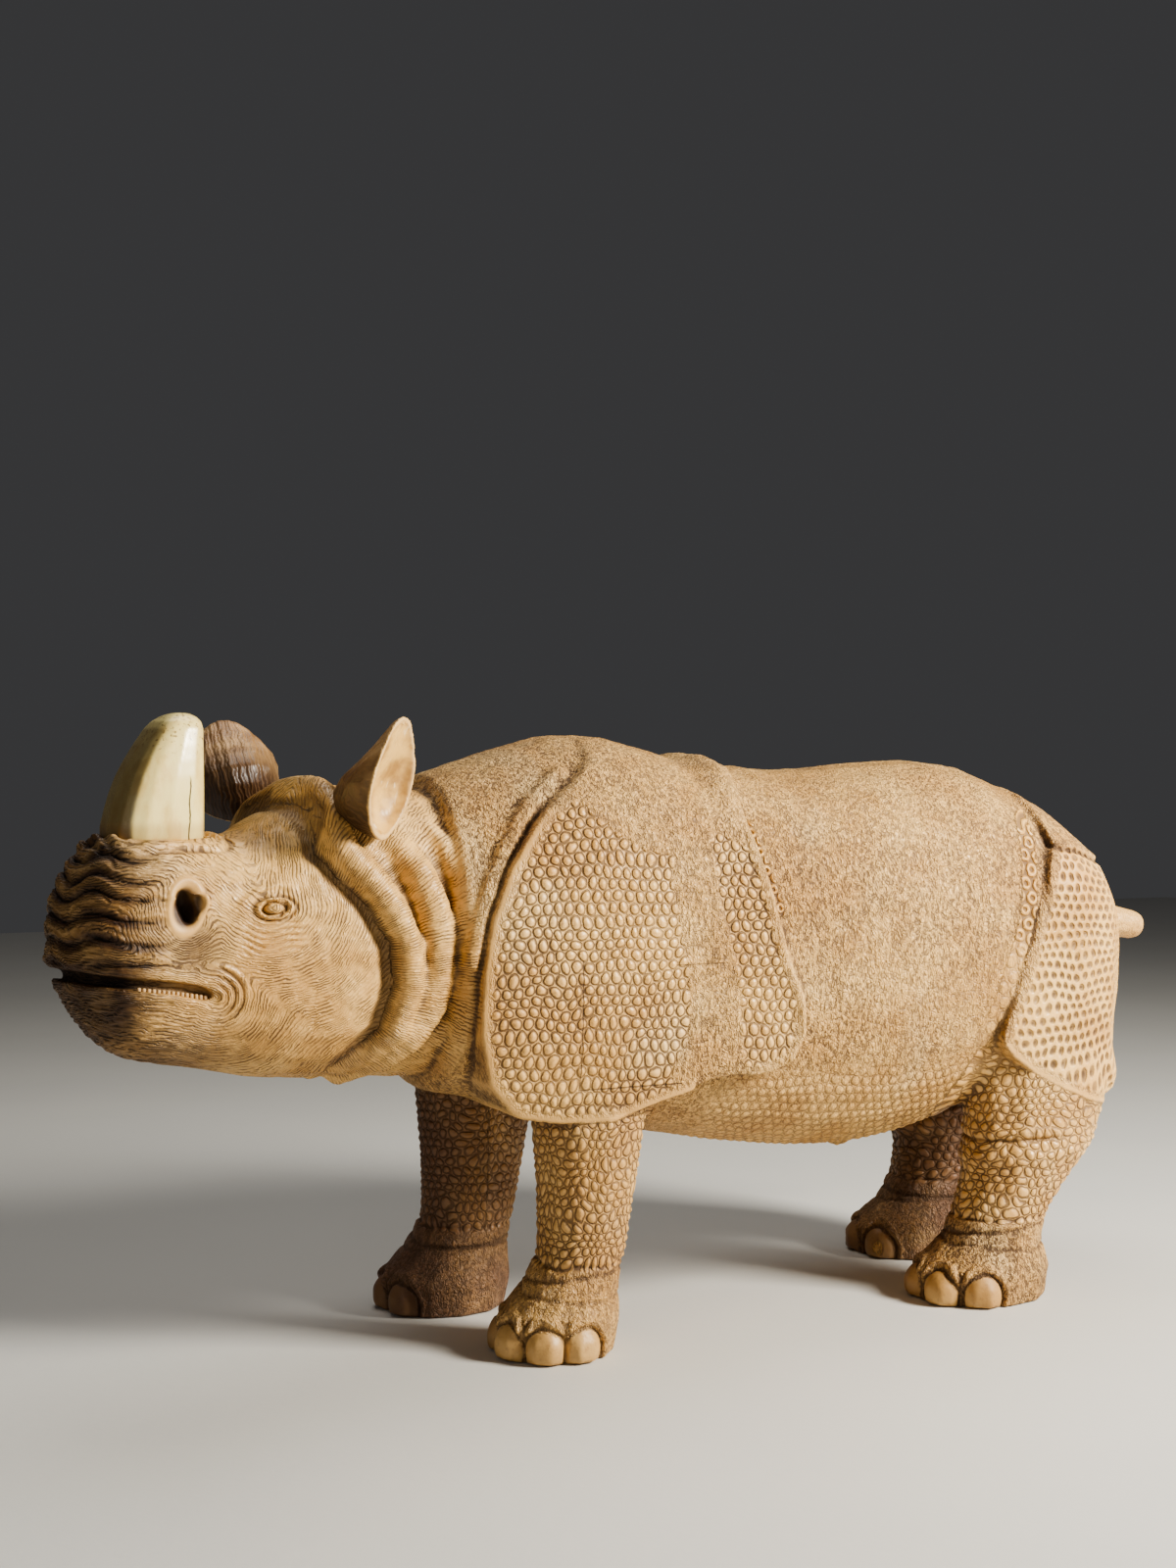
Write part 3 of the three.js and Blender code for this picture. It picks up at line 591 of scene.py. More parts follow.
# %% Legs and toes
leg_share = np.zeros(len(x))
leg_round = np.zeros(len(x))
far_leg = np.zeros(len(x))
toe_near = np.full(len(x), 9.0)
second_toe = np.full(len(x), 9.0)
TOE_REACH = 48 * 0.28
for leg in LEGS:
    middle = leg["knee"] + leg["step"]
    long, wide = (96.0, 84.0) if leg["knee"] < 0 else (128.0, 88.0)
    aside = (y - leg["side"] * TRACK) * leg["side"]
    near = np.hypot((x - middle) / (long + 40 * (z < 110)), aside / (wide + 20 * (z < 110)))
    share = np.where(near < 1.0, 1 - step(leg["top"] - 14, leg["top"], z), 0.0)
    this = share > leg_share
    leg_share = np.maximum(leg_share, share)
    leg_round = np.where(this, np.arctan2(x - middle, aside), leg_round)
    far_leg = np.where(this & (leg["side"] > 0), 1.0, far_leg)
    along, foot_long, foot_wide = leg["foot"]
    foot_long, foot_wide = foot_long * leg["girth"], foot_wide * leg["girth"]
    for angle in leg["toes"]:
        out = math.radians(180 - leg["side"] * angle)
        reach = 1 / math.hypot(math.cos(out) / foot_long, math.sin(out) / foot_wide) - TOE_REACH
        toe_x = along + leg["step"] + math.cos(out) * reach
        toe_y = leg["side"] * TRACK + math.sin(out) * reach
        ahead = (x - toe_x) * math.cos(out) + (y - toe_y) * math.sin(out)
        sideways = -(x - toe_x) * math.sin(out) + (y - toe_y) * math.cos(out)
        away = np.sqrt((ahead / 27) ** 2 + (sideways / 25) ** 2 + ((z - 14) / 29) ** 2)
        second_toe = np.where(away < toe_near, toe_near, np.minimum(second_toe, away))
        toe_near = np.minimum(toe_near, away)
FAR_OUTSIDE, PLATE_FOOT = -99.0, 278
over_leg = np.maximum(np.where(z > PLATE_FOOT, plate_in, FAR_OUTSIDE), flap_in)
leg_share *= 1 - step(-4, 4, over_leg)
foot = leg_share * (1 - step(88, 100, z))
print("leg corners:", int(leg_share.sum()))

# %% [markdown]
# The carver cut round scales in close rows. Here they stand on a honeycomb of equal steps, pushed about by
# noise so that no two are alike: domes on the plates and legs, pits on the flap, rings beside the seams.

# %% Scales on the plates, the flap, the legs, and rings beside the seams
torso_turn = np.arctan2((z - 468) / 230.0, np.abs(y) / 204.0)
row_place = x + 4.0 * ripple + 1.6 * fine_ripple
row_round = torso_turn * TORSO_ARC + 4.0 * noise(points, 34.0, 4) + 1.6 * noise(points, 11.0, 8)
leg_place = leg_round * 64.0 + 8.0 * ripple + 3.2 * fine_ripple
row_place = np.where(leg_share > 0.5, leg_place, row_place)
leg_height = z + 8.0 * noise(points, 30.0, 5) + 3.0 * noise(points, 11.0, 9)
row_round = np.where(leg_share > 0.5, leg_height, row_round)
rump_away, rump_side, rump_run = line_distance(x, z, RUMP_LINE)
rim_away, rim_side, rim_run = line_distance(x, z, REAR_RIM)
strip = (rump_side < 0) * (rump_away < 27) * (z > 340) * (flap_in < 0) * flank
behind_rim = (rim_side > 0) * (rim_away > 7) * (rim_away < 21) * (z > 520) * (z < 640) * flank
behind_rim = behind_rim * (plate_in < 0)
RING_SIZE = 0.66
row_place = np.where(strip > 0.5, (rump_away + 1) * RING_SIZE, row_place)
row_round = np.where(strip > 0.5, rump_run * RING_SIZE, row_round)
row_place = np.where(behind_rim > 0.5, rim_away, row_place)
row_round = np.where(behind_rim > 0.5, rim_run, row_round)
scale_across = row_place / SCALE_PITCH
scale_along = row_round / (SCALE_PITCH * math.sqrt(3))
ring = ring_distance(scale_across, scale_along)
front_scales = inside(x, z, FRONT_SCALES)
rear_scales = inside(x, z, REAR_SCALES)
plate_scales = step(-3, 4, np.maximum(front_scales, rear_scales)) * step(9, 14, plate_in) * flank
leg_scales = leg_share * step(96, 108, z)
belly_scales = 0.6 * (1 - step(300, 350, z)) * step(-40, 20, x) * (flap_in < 0) * (plate_in < 0)
belly_scales *= step(150, 200, z) * (1 - leg_share)
domes = np.clip(np.maximum(np.maximum(plate_scales, leg_scales), belly_scales), 0, 1) * (1 - on_head)
pits = step(9, 14, flap_in) * (1 - step(0, 4, ledge_in) * step(500, 540, x)) * (x > 380)
ring_scales = np.clip(strip * step(430, 500, z) + behind_rim, 0, 1)
domes = np.maximum(domes * (1 - ring_scales), 0.55 * strip * (1 - step(430, 500, z)))
print("scale corners:", int((domes > 0.5).sum()), "pitted:", int((pits > 0.5).sum()))

# %% [markdown]
# The eye is a small ball between two lids, with loose folds under it and creases behind the mouth. Each is
# a wave or a hill on the distance from its own middle, so it fades into the hair round it.

# %% Hair, eye and folds of skin on the head
hair = hair_field(across, z) + 2.6 * ripple + 1.0 * fine_ripple
roll_turn = np.arctan2(z - 469, across + 135) * 150.0
strokes = np.where(on_head > 0.5, hair, roll_turn + 2.5 * ripple)
locks = np.cos(strokes * 2 * math.pi / 15.0 + 1.6 * fine_ripple + 2.0 * ripple)
hair_height = (0.34 + 0.2 * broad) * locks

eye_across, eye_up = across - EYE[0], z - EYE[1]
eye_turn = np.hypot(eye_across, eye_up / 0.62) / 1.15
eye_ball = 3.0 * np.clip(1 - (eye_turn / 10) ** 2, 0, 1)
eye_lids = 3.0 * bump_at(eye_turn, 14.5, 2.4) - 4.0 * bump_at(eye_turn, 10.8, 1.9)
eye_lids -= 3.0 * bump_at(eye_turn, 19, 2.0)
fold_rows = (-eye_up + 0.007 * eye_across**2 + 2.4 * np.sin(eye_across / 7.0)) / 7.4
fold_room = (1 - step(26, 38, np.abs(eye_across))) * step(12, 17, -eye_up) * (1 - step(46, 56, -eye_up))
eye_folds = 1.5 * fold_room * np.cos(fold_rows * 2 * math.pi)
brow_line, _, _ = line_distance(eye_across, eye_up, [(-34, 6), (-18, 20), (2, 26), (16, 20)])
brow = 2.2 * bump_at(brow_line, 0, 3.0) * (eye_up > -2)
corner_turn = np.hypot(across - MOUTH_CORNER[0], z - MOUTH_CORNER[1])
corner_side = step(-6, 8, across - MOUTH_CORNER[0])
corner_folds = corner_side * 1.7 * np.cos(corner_turn * 2 * math.pi / 8.5) * step(5, 8, corner_turn)
corner_folds *= 1 - step(30, 42, corner_turn)
cheek_hollow = -3.0 * bump_at(np.hypot(across + 225, (z - 500) / 1.6), 0, 26) * on_head
print("strokes run from", round(float(strokes.min())), "to", round(float(strokes.max())), "mm")

# %% [markdown]
# Over the mouth the skin lies in seven wavy folds with tufts of hair, and a wrinkled collar holds the horn.
# Sines along the fold and noise across it keep them from looking machined.

# %% The wavy folds of the muzzle, the nostril and the collar of the horn
FOLD_BORDERS = (486, 513, 538, 563, 583, 603, 624, 660)
nose = step(398, 436, forward) * on_head
wave = 5.0 * np.sin(side / 15.0 + z / 40.0) + 5.0 * ripple
fold_height = np.zeros(len(x))
for low, high in zip(FOLD_BORDERS[:-1], FOLD_BORDERS[1:]):
    share = np.clip((z + wave - low) / (high - low), 0, 1)
    fold_height += 5.6 * np.sin(math.pi * share) ** 0.55
fold_height = (fold_height - 3.4) * step(480, 494, z)
NOSTRIL_TILT = math.radians(14)
from_nostril, over_nostril = forward - NOSTRIL[0], z - NOSTRIL[1]
nostril_u = from_nostril * math.cos(NOSTRIL_TILT) + over_nostril * math.sin(NOSTRIL_TILT)
nostril_v = -from_nostril * math.sin(NOSTRIL_TILT) + over_nostril * math.cos(NOSTRIL_TILT)
nostril_turn = np.hypot(nostril_u / 21.0, nostril_v / 31.0)
nostril_bare = on_head * (1 - step(1.05, 1.25, nostril_turn)) * (np.abs(side) > 30)
nostril_shade = on_head * (1 - step(0.6, 0.82, nostril_turn)) * (np.abs(side) > 30)
nostril_height = 2.4 * bump_at(nostril_turn, 0.95, 0.2) - 1.5 * bump_at(nostril_turn, 1.25, 0.12)
nostril_height *= nostril_bare
nose *= 1 - nostril_bare
ahead_of_horn = np.maximum(np.abs(forward - HORN_FORWARD) - 46, 0)
horn_away = np.hypot(ahead_of_horn, np.maximum(np.abs(side) - 36, 0))
collar = step(600, 612, z) * on_head * (forward > 250) * (1 - step(26, 40, horn_away))
collar_height = collar * (3.4 * bump_at(horn_away, 15, 6) + 2.2 * np.sin(horn_away / 2.6 + 3 * ripple))
lip_away, _, _ = line_distance(forward, z, MOUTH)
lip_height = 1.6 * bump_at(lip_away, 13, 5) * on_head
high_up = step(585, 640, z)
roll_height = -(6.0 + 4.0 * high_up) * bump_at(before_rolls, 4, 7)
roll_height += (2.5 + 3.5 * high_up) * bump_at(before_rolls, -20, 14)
roll_height *= (forward > 90) * step(345, 375, z)
tufts = 0.9 * np.cos((z + wave + 4 * fine_ripple) * 2 * math.pi / 8.0) * step(340, 420, forward) * on_head
tufts *= step(8, 14, lip_away) * (1 - nostril_bare)
print("muzzle corners:", int((nose > 0.5).sum()), "bare nostril:", int((nostril_bare > 0.5).sum()))

# %% [markdown]
# Between the scales the hide is creased leather. Smooth rims edge the armour, and the ankles, the hind
# knee and the ledge each have a fold of their own.

# %% Leather, rims, toes and the hump over the back
low_on_plate = 1 - step(625, 665, z)
plate_rim = bump_at(plate_in, 3.5, 4.5) * (x < -60) * low_on_plate * flank
flap_rim = bump_at(flap_in, 3.5, 4.5) * ((z < 345) | (x > 640)) * flank
rear_rim = bump_at(rim_away, 0, 6.0) * flank * (z < 668)
bare = np.clip(plate_rim + flap_rim + 0.4 * rear_rim + nostril_bare, 0, 1)
nails = foot * (1 - step(1.02, 1.08, toe_near))
between_toes = np.clip(1 - (second_toe - toe_near) / 0.35, 0, 1)
toe_height = 2.8 * (1 - step(0.85, 1.04, toe_near)) - 3.8 * bump_at(toe_near, 1.12, 0.06)
toe_height += 2.8 * bump_at(toe_near, 1.32, 0.12) * (1 - between_toes)
toe_height -= 3.4 * between_toes * (toe_near > 0.9) * (toe_near < 1.5)
ankle = -2.8 * bump_at(z + 4 * ripple, 108, 2.8)
ankle -= 2.4 * bump_at(z - 8 * np.cos(leg_round - 0.6) + 3 * ripple, 92, 2.6)
ankle -= 1.8 * bump_at(z + 9 * np.cos(leg_round) + 3 * ripple, 76, 2.4) * step(1.4, 1.7, toe_near)
ankle *= leg_share
creases = 0.5 * noise((x * 1.1, y, z * 0.75), 7.0, 6) + 0.7 * noise((x * 1.5, y, z * 0.6), 17.0, 7)
under_ledge = bump_at(ledge_in, -3.5, 3.5) * step(470, 500, x)
over_ledge = bump_at(ledge_in, 4, 5) * step(470, 500, x)
knee_line = z - 211 - 0.05 * (x - 420)
knee_fold = (2.4 * bump_at(knee_line, 11, 7) - 3.6 * bump_at(knee_line, 0, 2.6)) * leg_share * (x > 250)
knee_fold *= 1 - step(470, 510, x - 76 * far_leg)
navel = 13.0 * bump_at(x, 262, 19) * bump_at(y, 0, 26) * (z < 300)
hump = 11.0 * bump_at(x, 14, 21) - 3.0 * bump_at(x, -22, 16) + 3.0 * bump_at(x, 95, 14)
hump *= step(640, 705, z)
bare_skin = np.maximum(bare, nails)
leather = np.clip(1 - domes - pits - ring_scales - on_head - on_neck, 0, 1) * (1 - bare_skin)
print("nail corners:", int((nails > 0.5).sum()))

# %% [markdown]
# All the reliefs are added up, and each corner moves along its normal by the sum. The soles stay flat.

# %% Move the corners
dome_height = 2.8 * hill(ring, 1.0) - 1.0
pit_height = 0.7 - 2.4 * hill(ring, 0.92)
open_ring = 2.8 * bump_at(ring, 0.62, 0.2) - 0.9
hairy = np.maximum(on_head, on_neck) * (1 - nostril_bare)
relief = (
    domes * (1 - bare) * dome_height * (1 - 0.25 * leg_share)
    + pits * pit_height
    + ring_scales * open_ring
    + hairy * hair_height
    + on_head * (eye_lids + eye_ball + eye_folds + brow + corner_folds + cheek_hollow + lip_height)
    + nostril_height
    + tufts
    + nose * fold_height
    + collar_height
    + roll_height
    + leather * 0.8 * creases
    + 1.3 * (plate_rim + flap_rim) + 0.4 * rear_rim
    - 1.4 * bump_at(plate_in, -3, 4) * low_on_plate * (x < -40) * flank
    - 2.0 * bump_at(rump_away, 0, 2.6) * (flap_in > -6) * flank * (z > 350)
    + flank * (1.6 * over_ledge - 3.0 * under_ledge)
    + knee_fold
    + navel
    + foot * toe_height
    + ankle
    + hump
    + 1.2 * broad * (1 - foot)
)
SOLE_TOP, FLOOR_ROOM = 0.004, 0.0005
before = corners(block)
moved = before + normals(block) * relief[:, None] / MM
moved[:, 2] = np.where(before[:, 2] < SOLE_TOP, before[:, 2], np.maximum(moved[:, 2], FLOOR_ROOM))
set_corners(block, moved)
print("relief from", round(float(relief.min()), 1), "to", round(float(relief.max()), 1), "mm")

# %% [markdown]
# The hollows get painted shade. A copy rubbed smooth fills them, so how far each corner moves outwards
# shows how deep it lies; then the corners go back to where they were.

# %% How deep the hollows lie, for painted shade
moved_normals = normals(block)
apply_modifier(block, "SMOOTH", factor=0.5, iterations=110)
filled = ((corners(block) - moved) * moved_normals).sum(axis=1) * MM
set_corners(block, moved)
# Painted shade, darker the deeper a hollow lies.
hollow_shade = step(0.3, 2.4, filled)
print("corners in hollows:", int((hollow_shade > 0.5).sum()))

# %% What the finish needs to know
def keep_number(piece, name, values):
    """Stores one number for each corner, for the finish to read."""
    layer = piece.data.attributes.new(name, "FLOAT", "POINT")
    layer.data.foreach_set("value", values.astype(np.float32))


def keep_three(piece, name, first, second, third):
    layer = piece.data.attributes.new(name, "FLOAT_VECTOR", "POINT")
    layer.data.foreach_set("vector", np.stack([first, second, third], axis=-1).astype(np.float32).ravel())


# Painted shade on the chin, in the valleys of the muzzle folds and in the nostril holes; the front of the
# muzzle has real stain with painted shade on it, lighter on the fold ridges as a painted highlight.
muzzle = step(372, 462, forward + 14 * ripple) * on_head * (1 - 0.3 * step(0.6, 2.2, fold_height))
fold_shade = nose * (1 - step(-2.4, 1.2, fold_height)) * step(362, 410, forward)
chin_shade = 0.8 * step(230, 420, forward) * (1 - step(380, 446, z)) * on_head
stain_and_shade = np.clip(np.maximum(np.maximum(muzzle, fold_shade), chin_shade), 0, 1)
# The legs are redder; painted shade darkens the far legs and the inner faces between the legs.
inner_leg_shade = leg_share * (1 - step(96, 128, np.abs(y)))
redness_and_leg_shade = np.clip(leg_share * (0.12 + 0.08 * (x < 100)) + 0.8 * far_leg * leg_share + 0.5 * inner_leg_shade, 0, 1)
# Painted shade in the creases, in the hollows, under the ledge, in the knee fold and round the eyelids; the
# nails are darker from dirt.
crease_shade_and_nail_dirt = np.clip(-(relief - 1.2 * broad - hump) / 2.8, 0, 1) * (1 - domes) * (1 - pits)
for dark in (under_ledge * flank, -knee_fold / 3.6, hollow_shade, 0.4 * nails, -0.3 * eye_lids * on_head):
    crease_shade_and_nail_dirt = np.maximum(crease_shade_and_nail_dirt, np.clip(dark, 0, 1))
keep_number(block, "strokes", strokes)
keep_three(block, "scale_place", scale_across, scale_along, np.zeros(len(x)))
keep_three(block, "finish_share", hairy * (1 - fold_room * 0.7), domes * (1 - bare), leather)
keep_three(block, "scale_share", pits, ring_scales, np.clip(bare - nails, 0, 1))
keep_three(block, "tone_share", np.maximum(stain_and_shade * (1 - nostril_bare), nostril_shade), redness_and_leg_shade, crease_shade_and_nail_dirt)
print("stained corners:", int((stain_and_shade > 0.5).sum()))

# %% [markdown]
# ## One block in four meshes
# Each mesh is kept to at most 190,000 triangles, too few for such fine marks on the whole animal, so
# the block is parted at the neck, behind the shoulder and above the knees. Each cut is plane and closed,
# and the four lie against each other as one surface.

# %% Part the block
TRIANGLES = 190000
CUT_HEIGHT = 0.205
SHOULDER_CUT = 0.112
NECK_CUT = 70.0


def select_faces(piece, chosen):
    bpy.ops.object.mode_set(mode="OBJECT")
    mesh = piece.data
    mesh.polygons.foreach_set("select", chosen)
    for items in (mesh.edges, mesh.vertices):
        items.foreach_set("select", np.zeros(len(items), bool))
    bpy.context.view_layer.objects.active = piece
    bpy.ops.object.mode_set(mode="EDIT")
    bpy.ops.mesh.select_mode(type="FACE")


def part_off(piece, name, near, beyond, point, normal):
    """Cuts the faces near a plane, takes away those beyond it as a new piece, and closes both."""
    choose(piece)
    select_faces(piece, near(read_three(piece.data.polygons, "center")))
    bpy.ops.mesh.bisect(plane_co=point, plane_no=normal)
    bpy.ops.object.mode_set(mode="OBJECT")
    select_faces(piece, beyond(read_three(piece.data.polygons, "center")))
    before = set(bpy.data.objects)
    bpy.ops.mesh.separate(type="SELECTED")
    bpy.ops.object.mode_set(mode="OBJECT")
    new = (set(bpy.data.objects) - before).pop()
    new.name = name
    for part in (piece, new):
        choose(part)
        bpy.ops.object.mode_set(mode="EDIT")
        bpy.ops.mesh.select_all(action="SELECT")
        bpy.ops.mesh.fill_holes(sides=0)
        bpy.ops.object.mode_set(mode="OBJECT")
    return new


def leg_side(middles):
    x_mm = middles[:, 0] * MM - FIGURE_MIDDLE[0]
    return (x_mm < 10) | (x_mm > 340)


def forward_of(middles):
    x_mm, y_mm, _ = carver_frame(middles)
    return head_frame(x_mm, y_mm)[0]


legs = part_off(
    block, "legs",
    lambda m: leg_side(m) & (m[:, 2] < 0.24),
    lambda m: leg_side(m) & (m[:, 2] < CUT_HEIGHT),
    (0, 0, CUT_HEIGHT), (0, 0, 1),
)
head = part_off(
    block, "head",
    lambda m: np.abs(forward_of(m) - NECK_CUT) < 40,
    lambda m: forward_of(m) > NECK_CUT,
    from_head(NECK_CUT, 0, 400), (-math.cos(HEAD_TURN), -math.sin(HEAD_TURN), 0),
)
shoulders = part_off(
    block, "shoulders",
    lambda m: np.abs(m[:, 0] - SHOULDER_CUT) < 0.03,
    lambda m: m[:, 0] < SHOULDER_CUT,
    (SHOULDER_CUT, 0, 0), (1, 0, 0),
)
block.name = "hindquarters"
print("parted at", CUT_HEIGHT, "and", SHOULDER_CUT)


# %% Triangles
def make_triangles(piece):
    """Halves the squares, thins a mesh that has too many, and shades it smooth up to sharp edges."""
    choose(piece)
    apply_modifier(piece, "TRIANGULATE")
    count = len(piece.data.polygons)
    if count > TRIANGLES:
        apply_modifier(piece, "DECIMATE", ratio=TRIANGLES / count)
    bpy.ops.object.shade_smooth_by_angle(angle=math.radians(60))
    print(piece.name, count, "->", len(piece.data.polygons), "triangles")


carved = [head, shoulders, block, legs]
for part in carved:
    make_triangles(part)

# %% [markdown]
# ## The carved wood
# The real figure is one block of pale, warm wood, waxed where hands and light reach it. Painted shade
# lies in the cuts and hollows, on the chin and on the far and inner legs; the front of the muzzle has old
# stain with painted shade, and the legs are redder. Height and darkness are both worked out from the same
# fields as the relief, so each fine cut gets painted shade at its bottom.

# %% Fields of the wood finish
wood = Finish("carved_wood")
furry, scaly, leathery = wood.channels("finish_share")
pitted, ringed, bare_share = wood.channels("scale_share")
stain_and_shade_field, red_and_leg_shade, crease_shade_and_dirt = wood.channels("tone_share")
stroke = wood.attribute("strokes")
scale_u, scale_v, _ = wood.parts(wood.attribute("scale_place", "Vector"))
place_x, place_y, place_z = wood.parts(wood.place())


def nearest_scale():
    """The ring distance again, worked out between the corners."""
    least = None
    for shift in (0.0, 0.5):
        a = (scale_u + shift).math("FRACT") - 0.5
        b = ((scale_v + shift).math("FRACT") - 0.5) * math.sqrt(3)
        away = a * a + b * b
        least = away if least is None else least.math("MINIMUM", away)
    return least.math("SQRT") * 2.0


ring_wave = wood.noise(150.0, 2.0) * 0.4 - 0.2
ring_share = nearest_scale() + ring_wave
print("wood fields ready")

# %% [markdown]
# Cuts finer than the mesh are bump: the single strokes of the gouge, a sharper border for each scale, and
# the small cells of the leather.

# %% Heights of the finest cuts, in millimetres
stroke_warp = wood.noise(55.0, 3.0) * 5.0
coarse_wave = (stroke + stroke_warp).math("MULTIPLY", 2 * math.pi / 3.9).math("SINE")
fine_wave = (stroke + wood.noise(80.0, 3.0) * 6.0).math("MULTIPLY", 2 * math.pi / 2.6).math("SINE")
fine_share = wood.ramp(wood.noise(45.0, 2.0), 0.42, 0.58)
stroke_wave = coarse_wave * (1 - fine_share) + fine_wave * fine_share
stroke_depth = wood.ramp(wood.noise(60.0, 2.0), 0.32, 0.62)
stroke_height = furry * (wood.ramp(stroke_wave, -0.9, 0.3) * 1.1) * (stroke_depth * 0.6 + 0.4)

dome_rise = (1 - wood.ramp(ring_share, 0.58, 0.82)) * 1.1 + wood.ramp(ring_share, 0.9, 1.02) * 0.7
pit_rise = wood.ramp(ring_share, 0.45, 0.82) * 1.3
ring_rise = (wood.ramp(ring_share, 0.25, 0.45) - wood.ramp(ring_share, 0.75, 0.95)) * 1.5
cell_place = wood.wavy(wood.place((1.3, 1.3, 0.85)), 40.0, 0.02)
cell_edge = wood.node("TexVoronoi", 0, {"feature": "DISTANCE_TO_EDGE"}, Vector=cell_place, Scale=185.0)
small_edge = wood.node("TexVoronoi", 0, {"feature": "DISTANCE_TO_EDGE"}, Vector=cell_place, Scale=360.0)
worms = wood.ramp(wood.noise(150.0, 2.0, (1.4, 1.4, 0.8)), 0.43, 0.54)
cell_rise = wood.ramp(cell_edge, 0.0, 0.24) * 0.5 + wood.ramp(small_edge, 0.0, 0.3) * 0.2 + worms * 0.6
tooling = wood.noise(330.0, 2.0) * 0.35
height = stroke_height + scaly * dome_rise + pitted * pit_rise + ringed * ring_rise * 0.9
height = height + leathery * cell_rise * 1.5 + tooling * (1 - bare_share * 0.6)
print("heights ready")

# %% The glued seams in the near shoulder plate
SEAM_X, SEAM_LOW, SEAM_HIGH, SEAM_TOP, SEAM_BACK = -0.2047, 0.322, 0.466, 0.477, -0.067
FAINT_FRONT, FAINT_BACK, SEAM_END = -0.082, -0.008, 0.002


def between(value, low, high):
    """1 between two values, with short ends."""
    return wood.ramp(value, low, low + SEAM_END) * (1 - wood.ramp(value, high - SEAM_END, high))


def hairline(away, narrow, wide):
    """1 on a line and 0 beside it."""
    return 1 - wood.ramp(away.math("ABSOLUTE"), narrow, wide)


in_column = between(place_z, SEAM_LOW, SEAM_TOP)
in_row = between(place_x, SEAM_X - SEAM_END, SEAM_BACK)
in_faint_row = between(place_x, FAINT_FRONT, FAINT_BACK)
upright = hairline(place_x - SEAM_X, 0.0005, 0.0014) * in_column
level = hairline(place_z - SEAM_LOW, 0.0005, 0.0014) * in_row
faint = hairline(place_z - SEAM_HIGH, 0.0004, 0.0012) * in_faint_row * 0.6
near_side = 1 - wood.ramp(place_y, -0.12, -0.1)
seam = ((upright + level + faint) * near_side).clamp()
print("seams ready")

# %% [markdown]
# The colour is laid in coats: cloudy tan, worn spots, red legs with painted shade on the far and inner
# ones, painted shade in the cuts with the dark glued seams, and the stain with painted shade last,
# multiplied so that the cuts show through it.

# %% Colours of the wood
light_wood, deep_wood = linear(238, 194, 124), linear(208, 160, 94)
shade_and_seam_brown, stain_and_shade_brown = linear(84, 60, 40), linear(88, 74, 66)
patch = wood.noise(6.0, 4.0)
speck = wood.noise(130.0, 3.0, roughness=0.7)
tan = wood.mix(wood.ramp(wood.noise(9.0, 5.0, roughness=0.65), 0.34, 0.66), light_wood, deep_wood)
tan = wood.coats(
    tan,
    (wood.ramp(patch, 0.52, 0.7) * 0.45, (208, 154, 86)),
    (wood.ramp(wood.noise(5.0, 3.0, (1.3, 1, 1)), 0.55, 0.72) * 0.4, (244, 216, 162)),
    (wood.ramp(speck, 0.52, 0.72) * 0.35 * (1 - bare_share), (132, 88, 48)),
    (bare_share * 0.6, (214, 168, 104)),
    # Red legs, with painted shade on the far and inner ones.
    (red_and_leg_shade * (wood.ramp(patch, 0.3, 0.62) * 0.45 + 0.5), (110, 76, 56)),
)
# Painted shade at the bottom of each fine cut: the hair strokes, the grooves round the domes, the pits, the
# rings, the leather cells and the creases.
stroke_shade = furry * (1 - wood.ramp(stroke_wave, -0.95, 0.0)) * stroke_depth * 0.85
dome_shade = scaly * wood.ramp(ring_share, 0.52, 0.78) * (1 - wood.ramp(ring_share, 0.9, 1.06)) * 0.85
pit_shade = pitted * (1 - wood.ramp(ring_share, 0.4, 0.8)) * 0.6
ring_shade = ringed * ((1 - wood.ramp(ring_share, 0.2, 0.42)) + wood.ramp(ring_share, 0.76, 0.98)) * 0.6
cell_shade = leathery * ((1 - wood.ramp(cell_edge, 0.0, 0.16)) * 0.4 + (1 - worms) * 0.5)
cut_shade_and_seam = (stroke_shade + dome_shade + pit_shade + ring_shade + cell_shade + crease_shade_and_dirt * 0.8 + seam * 0.7).clamp()
# The painted shade of the cuts and the dark glued seams, laid over the tan in one brown.
tan = wood.mix(cut_shade_and_seam * (wood.ramp(patch, 0.25, 0.6) * 0.35 + 0.6), tan, shade_and_seam_brown)
# Real stain with painted shade on the front of the muzzle, and painted shade on the chin, the fold valleys
# and the nostrils, multiplied over the wood.
stain_and_shade_mix = stain_and_shade_field * (wood.ramp(wood.noise(24.0, 4.0), 0.25, 0.6) * 0.25 + 0.75)
tan = wood.mix(stain_and_shade_mix, tan, stain_and_shade_brown, "MULTIPLY")
gloss = wood.ramp(patch, 0.3, 0.7) * 0.2 + 0.32 + cut_shade_and_seam * 0.3
wood.surface(tan, gloss, wood.bump(height - seam * 1.0, 0.001))
for part in carved:
    wood.cover(part)
    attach(part, "root")
    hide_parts("rhinoceros_body")
print("four carved pieces")

# %% [markdown]
# ## Horn
# The real horn is a block of its own, cream-coloured and polished, with a drying crack from its foot and
# brown specks near the tip; its front face and its foot get painted shade. The solid already has the form,
# so it is only rubbed smooth, and each corner keeps its place on the head for the finish to read.

